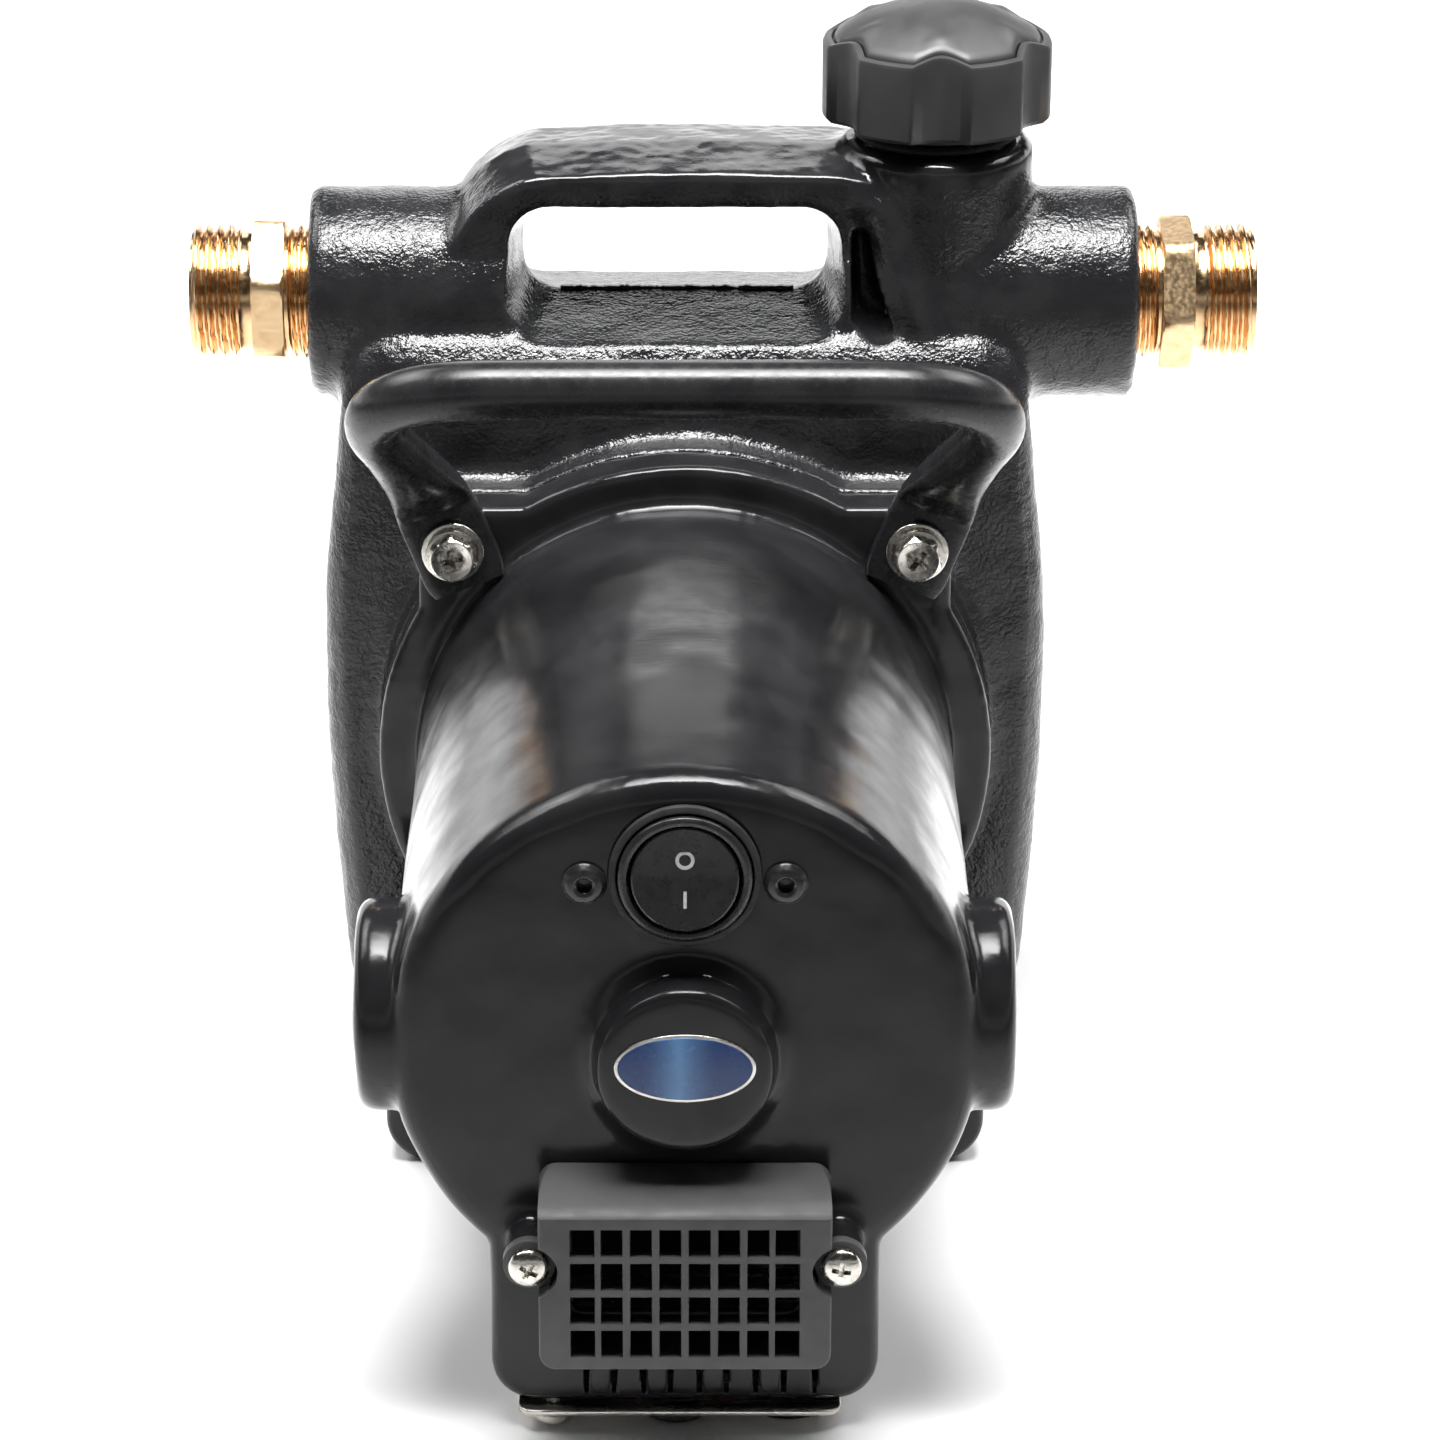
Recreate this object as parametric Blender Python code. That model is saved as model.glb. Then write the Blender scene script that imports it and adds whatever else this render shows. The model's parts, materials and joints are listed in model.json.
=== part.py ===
"""Shallow well jet pump with a brushed motor, as an assembly of separate sub-parts.

Frame: +Z up, the ground is Z = 0, the motor axis runs along Y at X = 0, the pipe ports lie on a line
along X above the origin, and the motor points towards -Y. Lengths in this file are in millimetres;
the mesh builders turn them into metres with MM.
"""
import math

import bmesh
import bpy
import numpy as np
from mathutils import Matrix, Vector

MM = 0.001
GAP = 0.3               # left between touching pieces

# ---- driving dimensions -------------------------------------------------------------------------
AXIS_Z = 75.0           # height of the motor axis
PORT_Z = 155.8          # height of the port line
PORT_R = 21.0           # cast boss around each port
SUCTION_END_X = -74.0
DISCHARGE_END_X = 89.0
CASING_FRONT_Y = -29.0
PAD_Y = -35.5           # machined pad that the motor bolts to
CASING_BACK_Y = 29.0
BELL_R = 57.0           # round rear chamber
BELL_BACK_Y = 60.0
WALL = 6.0

HANDLE_HALF_Y = 16.5    # cast handle, thickness each side of the parting plane
SLOT = (-33.5, 30.0, 155.0, 178.2)          # finger slot: low X, high X, low Z, high Z
NECK_X = 49.3
NECK_R = 19.3
NECK_TOP_Z = 188.0

FLANGE_FRONT_Y = -46.0
FLANGE_BACK_Y = PAD_Y - GAP
FLANGE_R = 60.3
FLANGE_HALF = 51.8
EAR = 44.8              # flange screws, both ways from the axis
BARREL_R = 52.2
BARREL_BORE_R = 49.0
MOUTH_R = 50.0          # opening shared by casing and flange
END_Y = -177.2          # motor end face
END_ROUND = 6.0         # rounding between barrel and end face
HUB_FACE_Y = -185.0
BRUSH_Y = -157.0
BRUSH_BOSS_R = 18.9
BRUSH_BOSS_X = 58.0
DUCT_HALF_X = 34.6
DUCT_BACK_Y = -118.0
DUCT_BOTTOM_Z = 4.9
SWITCH_Z = AXIS_Z + 34.4
RIVET_X = 17.3
RIVET_Z = AXIS_Z + 32.7
GRILLE_HALF_X = 25.6
GRILLE_FRONT_Y = -191.0
GRILLE_TOP_Z = 54.0
GRILLE_BOTTOM_Z = 19.8
GRILLE_SCREW = (27.3, 39.0)
GRILLE_POST_Y = -185.2  # front of the two posts that the grille's ears rest on
GRILLE_EAR_THICK = 2.0
PLATE = (-30.0, 28.0, -178.9, -120.0)       # base plate: low X, high X, low Y, high Y
PLATE_BOTTOM_Z = 3.3
PLATE_TOP_Z = 4.5
PLATE_SCREW_AT = (-23.5, -174.8)
GLAND_AT = (-1.7, -169.8)
RUBBER_FOOT_AT = (18.6, -165.0)

SHAFT_R = 5.0
IMPELLER_R = 36.0
COMMUTATOR_R = 13.0
ROTOR_R = 24.3
STATOR_R = 47.0
STATOR_BORE_R = 25.0
KNOB_R = 22.9
KNOB_LOBES = 6
KNOB_SCALLOP = 2.6
ROCKER_REST_TILT = math.radians(-7.0)       # "off" end pressed in

HANDLE_TUBE_R = 5.5
HANDLE_HALF_X = 58.0    # centre line at its widest
HANDLE_RISE = 57.6      # unbent height from ear to bar
STRAP_HALF = 8.0        # flattened ends
STRAP_THICK = 3.2

for old in list(bpy.data.objects):
    bpy.data.objects.remove(old)


# ---- materials ----------------------------------------------------------------------------------
def material(name, colour, roughness, metallic=0.0):
    made = bpy.data.materials.new(name)
    made.use_nodes = True
    shader = made.node_tree.nodes["Principled BSDF"]
    shader.inputs["Base Color"].default_value = (*colour, 1.0)
    shader.inputs["Roughness"].default_value = roughness
    shader.inputs["Metallic"].default_value = metallic
    made.diffuse_color = (*colour, 1.0)
    return made


CAST_IRON = material("black_cast_iron", (0.016, 0.016, 0.017), 0.3)
DIE_CAST = material("black_die_cast", (0.012, 0.012, 0.013), 0.28)
BLACK_TUBE = material("black_coated_tube", (0.014, 0.014, 0.015), 0.35)
BLACK_PLASTIC = material("black_plastic", (0.024, 0.024, 0.026), 0.5)
SWITCH_PLASTIC = material("switch_plastic", (0.02, 0.02, 0.021), 0.3)
RUBBER = material("black_rubber", (0.013, 0.013, 0.013), 0.75)
BRASS = material("brass", (0.78, 0.52, 0.2), 0.28, 1.0)
BRIGHT_STEEL = material("bright_steel", (0.68, 0.67, 0.64), 0.28, 1.0)
SHAFT_STEEL = material("shaft_steel", (0.55, 0.55, 0.56), 0.35, 1.0)
LAMINATION = material("lamination_steel", (0.3, 0.3, 0.31), 0.55, 1.0)
COPPER = material("enamelled_copper", (0.62, 0.25, 0.1), 0.4, 1.0)
CARBON = material("carbon", (0.03, 0.03, 0.032), 0.6)
CERAMIC = material("ceramic", (0.85, 0.83, 0.78), 0.25)
ALUMINIUM = material("cast_aluminium", (0.6, 0.61, 0.62), 0.45, 1.0)
WHITE_PLASTIC = material("natural_plastic", (0.75, 0.73, 0.66), 0.45)


# ---- outlines -----------------------------------------------------------------------------------
def arc(cx, cy, radius, start, end, steps):
    """Points on an arc, angles in degrees, both ends included."""
    angles = np.radians(np.linspace(start, end, steps + 1))
    return [(cx + radius * math.cos(a), cy + radius * math.sin(a)) for a in angles]


def circle(cx, cy, radius, steps):
    return arc(cx, cy, radius, 0, 360, steps)[:-1]


def rounded_box(x0, x1, y0, y1, radius, steps=4):
    return (arc(x1 - radius, y1 - radius, radius, 0, 90, steps)
            + arc(x0 + radius, y1 - radius, radius, 90, 180, steps)
            + arc(x0 + radius, y0 + radius, radius, 180, 270, steps)
            + arc(x1 - radius, y0 + radius, radius, 270, 360, steps))


def hexagon(cx, cy, across_flats, turn=0.0):
    radius = across_flats / math.sqrt(3)
    return [(cx + radius * math.cos(math.radians(60 * i + turn)),
             cy + radius * math.sin(math.radians(60 * i + turn))) for i in range(6)]


def sector(radius_in, radius_out, start, end, steps=8):
    """Ring sector around the motor axis."""
    inner = arc(0, AXIS_Z, radius_in, end, start, steps)
    return arc(0, AXIS_Z, radius_out, start, end, steps) + inner


# ---- solids -------------------------------------------------------------------------------------
def finish(name, bm, look, origin=(0, 0, 0), parent=None):
    """Object from a mesh drawn in world millimetres, with its origin moved to a world point."""
    bmesh.ops.remove_doubles(bm, verts=bm.verts, dist=0.001)
    bmesh.ops.recalc_face_normals(bm, faces=bm.faces)
    bmesh.ops.transform(bm, matrix=Matrix.Scale(MM, 4) @ Matrix.Translation(-Vector(origin)),
                        verts=bm.verts)
    mesh = bpy.data.meshes.new(name)
    bm.to_mesh(mesh)
    bm.free()
    if look:
        mesh.materials.append(look)
    made = bpy.data.objects.new(name, mesh)
    bpy.context.scene.collection.objects.link(made)
    made.location = Vector(origin) * MM
    if parent:
        made.parent = parent
        made.location = Vector(origin) * MM - parent.location
    return made


AXES = {
    "X": (Vector((1, 0, 0)), lambda a, b, along: (along, a, b)),
    "Y": (Vector((0, 1, 0)), lambda a, b, along: (a, along, b)),
    "Z": (Vector((0, 0, 1)), lambda a, b, along: (a, b, along)),
}


def turned(name, profile, look, axis="Y", centre=(0, 0, AXIS_Z), steps=16, **place):
    """Solid of revolution: profile is (radius, position along the axis), closed where it has a bore."""
    direction, at = AXES[axis]
    bm = bmesh.new()
    middle = Vector(centre)
    middle -= middle.dot(direction) * direction
    ring = [bm.verts.new(Vector(at(radius, 0, along)) + middle) for radius, along in profile]
    solid = profile[0][0] == 0 and profile[-1][0] == 0
    pairs = list(zip(ring, ring[1:])) + ([] if solid else [(ring[-1], ring[0])])
    edges = [bm.edges.new(pair) for pair in pairs]
    bmesh.ops.spin(bm, geom=ring + edges, cent=middle, axis=direction, angle=math.tau, steps=steps,
                   use_merge=True)
    return finish(name, bm, look, **place)


def prism(name, outline, low, high, look=None, axis="Y", **place):
    """Outline extruded along an axis, from low to high."""
    direction, at = AXES[axis]
    bm = bmesh.new()
    face = bm.faces.new([bm.verts.new(at(a, b, low)) for a, b in outline])
    grown = bmesh.ops.extrude_face_region(bm, geom=[face])
    moved = [v for v in grown["geom"] if isinstance(v, bmesh.types.BMVert)]
    bmesh.ops.translate(bm, verts=moved, vec=direction * (high - low))
    return finish(name, bm, look, **place)


def stacked(name, sections, look=None, **place):
    """Solid through outlines of equal point count: sections are (y, outline)."""
    bm = bmesh.new()
    rings = [[bm.verts.new((x, y, z)) for x, z in outline] for y, outline in sections]
    bm.faces.new(rings[0])
    bm.faces.new(rings[-1])
    for lower, upper in zip(rings, rings[1:]):
        for i in range(len(lower)):
            j = (i + 1) % len(lower)
            bm.faces.new((lower[i], lower[j], upper[j], upper[i]))
    return finish(name, bm, look, **place)


def swept(name, path, radii, look=None, bore=0.0, sides=12, across=None, **place):
    """Tube along a path; radii gives each point's half width, along across, and half thickness."""
    points = [Vector(p) for p in path]
    bm = bmesh.new()
    outer, inner = [], []
    side = None
    for i, point in enumerate(points):
        ahead, behind = points[min(i + 1, len(points) - 1)], points[max(i - 1, 0)]
        tangent = (ahead - behind).normalized()
        guess = side or (Vector(across) if across else tangent.orthogonal())
        side = (guess - guess.dot(tangent) * tangent).normalized()
        up = tangent.cross(side)
        wide, thick = radii[i] if isinstance(radii, list) else (radii, radii)
        for rings, shrink in ((outer, 0), (inner, wide - bore)) if bore else ((outer, 0),):
            rings.append([bm.verts.new(point + side * (wide - shrink) * math.cos(math.tau * k / sides)
                                       + up * (thick - shrink) * math.sin(math.tau * k / sides))
                          for k in range(sides)])
    for rings in (outer, inner):
        for lower, upper in zip(rings, rings[1:]):
            for k in range(sides):
                m = (k + 1) % sides
                bm.faces.new((lower[k], lower[m], upper[m], upper[k]))
    for end in (0, -1):
        if bore:
            for k in range(sides):
                m = (k + 1) % sides
                bm.faces.new((outer[end][k], outer[end][m], inner[end][m], inner[end][k]))
        else:
            bm.faces.new(outer[end])
    return finish(name, bm, look, **place)


def box(x0, x1, y0, y1, z0, z1):
    return prism("block", [(x0, z0), (x1, z0), (x1, z1), (x0, z1)], y0, y1)


def rod(radius, low, high, axis, centre, steps=12):
    return turned("rod", [(0, low), (radius, low), (radius, high), (0, high)], None, axis, centre, steps)


def combine(target, tools, operation):
    """Boolean with each tool in turn, applied at once; the tools are used up."""
    for tool in tools:
        change = target.modifiers.new(operation, "BOOLEAN")
        change.operation = operation
        change.solver = "EXACT"
        change.object = tool
        bpy.context.view_layer.update()
        evaluated = target.evaluated_get(bpy.context.evaluated_depsgraph_get())
        mesh = bpy.data.meshes.new_from_object(evaluated)
        target.modifiers.clear()
        mesh.name = target.name
        target.data = mesh
        bpy.data.objects.remove(tool)
    return target


def add(target, *tools):
    return combine(target, tools, "UNION")


def cut(target, *tools):
    return combine(target, tools, "DIFFERENCE")


def corners():
    """The flange screw places, upper pair first."""
    return [(side * EAR, AXIS_Z + up * EAR) for up in (1, -1) for side in (-1, 1)]


def axis_empty(name, place):
    empty = bpy.data.objects.new(name, None)
    empty.location = Vector(place) * MM
    bpy.context.scene.collection.objects.link(empty)
    return empty


# ---- pump casing --------------------------------------------------------------------------------
def casing_half_width(z):
    return float(np.interp(z - AXIS_Z, (-54, -27, -5, 25, 67, 80), (68.8, 71, 72, 72, 67.5, 66)))


def casing_outline(top, inset, shoulder=12.0):
    """Body outline in a plane of constant Y; inset pulls the sides and the bottom in."""
    corner = 14.0
    bottom = AXIS_Z - 68 + inset
    low = casing_half_width(AXIS_Z - 54) - inset
    right = arc(low - corner, bottom + corner, corner, -90, 0, 4)
    for z in (AXIS_Z - 27, AXIS_Z - 5, AXIS_Z + 25):
        right.append((casing_half_width(z) - inset, z))
    edge = casing_half_width(top - shoulder) - inset
    right += arc(edge - shoulder, top - shoulder, shoulder, 0, 90, 4)
    return right + [(-x, z) for x, z in reversed(right)]


def flange_outline_solids(low, high):
    """Round flange merged with the square that carries the four screws."""
    half = FLANGE_HALF
    square = rounded_box(-half, half, AXIS_Z - half, AXIS_Z + half, 7.0, 3)
    disc = circle(0, AXIS_Z, FLANGE_R, 32)
    return add(prism("flange", disc, low, high), prism("square", square, low, high))


def pump_casing():
    body = stacked("pump_casing", [
        (CASING_FRONT_Y, casing_outline(AXIS_Z + 62, 4)),
        (CASING_FRONT_Y + 2, casing_outline(AXIS_Z + 67, 1)),
        (CASING_FRONT_Y + 8, casing_outline(AXIS_Z + 75, 0)),
        (CASING_FRONT_Y + 16, casing_outline(AXIS_Z + 78.5, 0)),
        (0, casing_outline(AXIS_Z + 82, -0.5)),
        (CASING_BACK_Y - 16, casing_outline(AXIS_Z + 78.5, 0)),
        (CASING_BACK_Y - 8, casing_outline(AXIS_Z + 75, 0)),
        (CASING_BACK_Y, casing_outline(AXIS_Z + 62, 5)),
    ], CAST_IRON)
    bell = turned("bell", [(0, 15), (BELL_R, 15), (BELL_R, BELL_BACK_Y - 8),
                           (BELL_R - 2.5, BELL_BACK_Y - 2.5), (BELL_R - 8, BELL_BACK_Y),
                           (0, BELL_BACK_Y)], None, steps=28)
    ports = turned("ports", [(0, SUCTION_END_X), (PORT_R - 1, SUCTION_END_X), (PORT_R, SUCTION_END_X + 1),
                             (PORT_R, DISCHARGE_END_X - 1), (PORT_R - 1, DISCHARGE_END_X),
                             (0, DISCHARGE_END_X)], None, "X", (0, 0, PORT_Z), 20)
    top = AXIS_Z + 110.5
    arch = ([(-56, AXIS_Z + 66), (-52, AXIS_Z + 84)] + arc(-26, top - 24, 22, 165, 100, 6)
            + [(0, top), (28, top - 0.7), (NECK_X + 3, top - 2), (NECK_X + 3, AXIS_Z + 66)])
    handle = prism("handle", arch, -HANDLE_HALF_Y, HANDLE_HALF_Y)
    neck = rod(NECK_R, PORT_Z - 10, NECK_TOP_Z, "Z", (NECK_X, 0, 0), 22)
    pad = flange_outline_solids(PAD_Y, CASING_FRONT_Y + 4)
    foot = stacked("foot", [(-18, rounded_box(-40, 40, 0, 12, 2, 2)),
                            (42, rounded_box(-40, 40, 0, 12, 2, 2))])
    add(body, bell, ports, handle, neck, pad, foot)
    cut(body, prism("slot", rounded_box(*SLOT, 8.0), -40, 40))

    chamber = stacked("chamber", [
        (CASING_FRONT_Y + WALL, casing_outline(AXIS_Z + 54, 7)),
        (0, casing_outline(AXIS_Z + 68, 6)),
        (CASING_BACK_Y - WALL, casing_outline(AXIS_Z + 54, 7)),
    ])
    mouth = turned("mouth", [(0, PAD_Y - 5), (54, PAD_Y - 5), (54, PAD_Y + 3), (MOUTH_R, PAD_Y + 3),
                             (MOUTH_R, -12), (BELL_R - WALL, -10), (BELL_R - WALL, BELL_BACK_Y - 5),
                             (0, BELL_BACK_Y - 5)], None, steps=30)
    cut(body, add(chamber, mouth))
    inlet = [(13.6, SUCTION_END_X - 5), (13.6, SUCTION_END_X + 14), (12.5, SUCTION_END_X + 14), (12.5, -37)]
    outlet = [(10, 40), (10, DISCHARGE_END_X - 14), (13.6, DISCHARGE_END_X - 14), (13.6, DISCHARGE_END_X + 5)]
    for profile in (inlet, outlet):
        bore = [(0, profile[0][1])] + profile + [(0, profile[-1][1])]
        cut(body, turned("bore", bore, None, "X", (0, 0, PORT_Z), 14))
    cut(body, rod(9.0, AXIS_Z + 50, PORT_Z, "Z", (-47, 0, 0)))
    filler = [(0, AXIS_Z + 50), (9, AXIS_Z + 50), (9, PORT_Z + 12), (12.8, PORT_Z + 12),
              (12.8, NECK_TOP_Z + 5), (0, NECK_TOP_Z + 5)]
    cut(body, turned("filler", filler, None, "Z", (NECK_X, 0, 0), 14))
    cut(body, rod(6.3, BELL_BACK_Y - 9, BELL_BACK_Y + 5, "Y", (0, 0, AXIS_Z - 40)))
    cut(body, *[rod(3.3, PAD_Y - 5, PAD_Y + 10, "Y", (x, 0, z), 12) for x, z in corners()])
    return body


def adapter(name, end_x, outward):
    """Pipe thread inside the boss, hexagon, plain neck, garden hose thread; bored right through."""
    def along(distance):
        return end_x + outward * distance

    pipe, hose, bore = 13.25, 13.5, 9.5
    profile = [(0, along(-13)), (pipe - 0.7, along(-13)), (pipe, along(-12)), (pipe, along(5.2)),
               (pipe, along(11.4)), (11.9, along(11.4)), (11.9, along(14)), (hose, along(14)),
               (hose, along(22.9)), (12.6, along(23.7)), (0, along(23.7))]
    body = turned(name, profile, BRASS, "X", (0, 0, PORT_Z), 16)
    flats = hexagon(0, PORT_Z, 27.0)
    nut = prism("hex", flats, along(5.2), along(11.4), axis="X")
    add(body, nut)
    return cut(body, rod(bore, along(-20), along(30), "X", (0, 0, PORT_Z), 12))


def check_valve():
    """Plastic seat pressed behind the suction adapter, and a rubber flap that swings inwards."""
    seat = turned("check_valve_seat", [(6.5, -60.4), (12.2, -60.4), (12.2, -57.5), (6.5, -57.5)],
                  WHITE_PLASTIC, "X", (0, 0, PORT_Z), 14)
    lug_z = PORT_Z + 8.5
    for side in (-1, 1):
        low, high = sorted((side * 4.0, side * 5.5))
        add(seat, prism("lug", [(low, lug_z - 2), (high, lug_z - 2), (high, lug_z + 1.8), (low, lug_z + 1.8)],
                        -58, -53.8, axis="X"))
    cut(seat, rod(1.2, -6.5, 6.5, "Y", (-55.6, 0, lug_z), 10))
    hinge = (-55.6, 0, lug_z)
    flap = turned("check_valve_flap", [(0, -57.2), (7.6, -57.2), (7.6, -55.4), (0, -55.4)], RUBBER,
                  "X", (0, 0, PORT_Z), 14, origin=hinge)
    for low, high in ((-9, -3.7), (3.7, 9)):    # room for the lugs as the flap swings
        cut(flap, box(-59, -54, low, high, lug_z - 2.9, lug_z))
    tongue = prism("tongue", [(-3.5, PORT_Z + 3), (3.5, PORT_Z + 3), (3.5, lug_z), (-3.5, lug_z)],
                   -56.5, -55.0, axis="X")
    return add(flap, tongue, rod(0.9, -5.3, 5.3, "Y", hinge, 10))


def curve_through(points, steps):
    """Smooth Catmull-Rom curve through the given points."""
    ends = [points[0]] + list(points) + [points[-1]]
    found = []
    for a, b, c, d in zip(ends, ends[1:], ends[2:], ends[3:]):
        a, b, c, d = map(np.array, (a, b, c, d))
        for t in np.linspace(0, 1, steps, endpoint=False):
            found.append(0.5 * (2 * b + (c - a) * t + (2 * a - 5 * b + 4 * c - d) * t * t
                                + (3 * b - a - 3 * c + d) * t ** 3))
    return [tuple(p) for p in found] + [tuple(points[-1])]


def ejector():
    """Suction pipe, suction box, nozzle and venturi on the motor axis."""
    route = curve_through([(-47, 0, 144), (-46.8, 0.5, 130), (-41, 7, 112), (-31, 17, 96),
                           (-25, 29, 83), (-20, 34, AXIS_Z + 2)], 2)
    swept("suction_tube", route, 8.4, WHITE_PLASTIC, bore=6.6, sides=8)
    body = turned("jet_body", [(11.5, 24), (11.5, 44), (6.1, 44), (6.1, 48), (13.5, 48), (15, 46.5),
                               (15, 22), (8.6, 22), (8.6, 24)], WHITE_PLASTIC, steps=16)
    cut(body, rod(7.5, -15.6, -5, "X", (0, 34, AXIS_Z), 12))
    turned("jet_nozzle", [(3.6, 50), (9, 50), (9, 48.3), (5.8, 48.3), (5.8, 43), (4, 30), (2.2, 30)],
           BRASS, steps=12)
    turned("venturi_tube", [(5.2, 27), (3.2, 19), (7, -9.8), (9.4, -9.8), (9.4, -6), (8.3, 0), (8.3, 27)],
           WHITE_PLASTIC, steps=14)


def diffuser():
    cup = turned("diffuser", [(9.7, -13.8), (40, -13.8), (40, -33.6), (43, -33.6), (43, -11), (9.7, -11)],
                 WHITE_PLASTIC, steps=20)
    return around_axis(cup, lambda: box(36, 47, -25, -16, AXIS_Z - 5, AXIS_Z + 5), 8, cut)


# ---- rotor --------------------------------------------------------------------------------------
def around_axis(target, make, count, operation=add):
    """Repeats a block around the motor axis and joins it to, or takes it from, the target."""
    centre = Vector((0, 0, AXIS_Z)) * MM
    for i in range(count):
        block = make()
        block.data.transform(Matrix.Translation(centre) @ Matrix.Rotation(i * math.tau / count, 4, "Y")
                             @ Matrix.Translation(-centre))
        operation(target, block)
    return target


def impeller_vane():
    """Backswept vane between the two shrouds."""
    outline = []
    for offset, order in ((0, 1), (5, -1)):
        stations = [(13, 0), (20, -11), (28, -23), (IMPELLER_R - 0.6, -36)]
        for radius, lag in stations[::order]:
            outline += arc(0, AXIS_Z, radius, lag + offset * 13 / radius, lag, 1)[:1]
    return prism("vane", outline, -26, -18)


def star(tips, radius_in, radius_out, share, offset=0.0):
    """Outline with evenly spaced straight-sided slots; share is the tooth's part of each pitch."""
    points = []
    for i in range(tips):
        start = 360 * i / tips + offset
        width = 360 * share / tips
        points += arc(0, AXIS_Z, radius_out, start - width / 2, start + width / 2, 2)
        gap_from, gap_to = start + width / 2, start + 360 / tips - width / 2
        points += arc(0, AXIS_Z, radius_in, gap_from, gap_to, 1)
    return points


def rotor(spin):
    keep = dict(origin=(0, 0, AXIS_Z), parent=spin)
    turned("rotor_shaft", [(0, -181), (4, -181), (4, -171), (6, -171), (6, -64), (SHAFT_R, -64),
                           (SHAFT_R, -27.6), (4, -27.6), (4, -11.5), (0, -11.5)], SHAFT_STEEL,
           steps=14, **keep)

    wheel = turned("impeller", [(4.3, -27.3), (IMPELLER_R, -27.3), (IMPELLER_R, -25.3), (10, -25.3),
                                (7, -18), (4.3, -18)], BRASS, steps=20, **keep)
    around_axis(wheel, impeller_vane, 6)
    shroud = turned("shroud", [(11.5, -19), (IMPELLER_R, -19), (IMPELLER_R, -17), (11.5, -16.2)], None,
                    steps=20)
    add(wheel, shroud)
    nut = prism("impeller_nut", hexagon(0, AXIS_Z, 10), -17.7, -12.5, BRASS, **keep)
    cut(nut, rod(4.3, -20, -10, "Y", (0, 0, AXIS_Z)))

    turned("seal_head", [(5.3, -35.6), (8.5, -35.6), (8.5, -34.2), (11, -34.2), (11, -32.2), (5.3, -32.2)],
           CARBON, **keep)
    coils, radius = 3, 7.5
    low, high = -31.2, -28.3
    route = [(radius * math.cos(a), low + (high - low) * a / (coils * math.tau),
              AXIS_Z + radius * math.sin(a)) for a in np.linspace(0, coils * math.tau, coils * 10 + 1)]
    swept("seal_spring", route, 0.4, SHAFT_STEEL, sides=4, **keep)
    fan = turned("cooling_fan", [(6.3, -79), (11, -79), (11, -69), (40, -69), (40, -67), (6.3, -67)],
                 BLACK_PLASTIC, steps=20, **keep)
    around_axis(fan, lambda: box(18, 39, -79, -68, AXIS_Z - 0.8, AXIS_Z + 0.8), 10)

    slots = 12
    core = prism("rotor_core", star(slots, 12.5, ROTOR_R, 0.62), -126, -88, LAMINATION, **keep)
    cut(core, rod(6.3, -130, -80, "Y", (0, 0, AXIS_Z)))
    winding = turned("rotor_winding", [(8, -87.5), (21, -87.5), (22, -84), (18, -80.5), (8, -80.5)], COPPER,
                     steps=18, **keep)
    add(winding, turned("turns", [(8, -126.5), (21, -126.5), (22, -131), (16, -140), (8, -140)], None,
                        steps=18))
    around_axis(winding, lambda: box(13.6, 20.5, -128, -86, AXIS_Z - 1.1, AXIS_Z + 1.1), slots)
    winding.data.transform(Matrix.Rotation(math.pi / slots, 4, "Y"))
    segments = prism("commutator", star(12, COMMUTATOR_R - 0.9, COMMUTATOR_R, 0.82), -167, -147, COPPER,
                     **keep)
    cut(segments, rod(6.3, -170, -140, "Y", (0, 0, AXIS_Z)))


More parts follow.
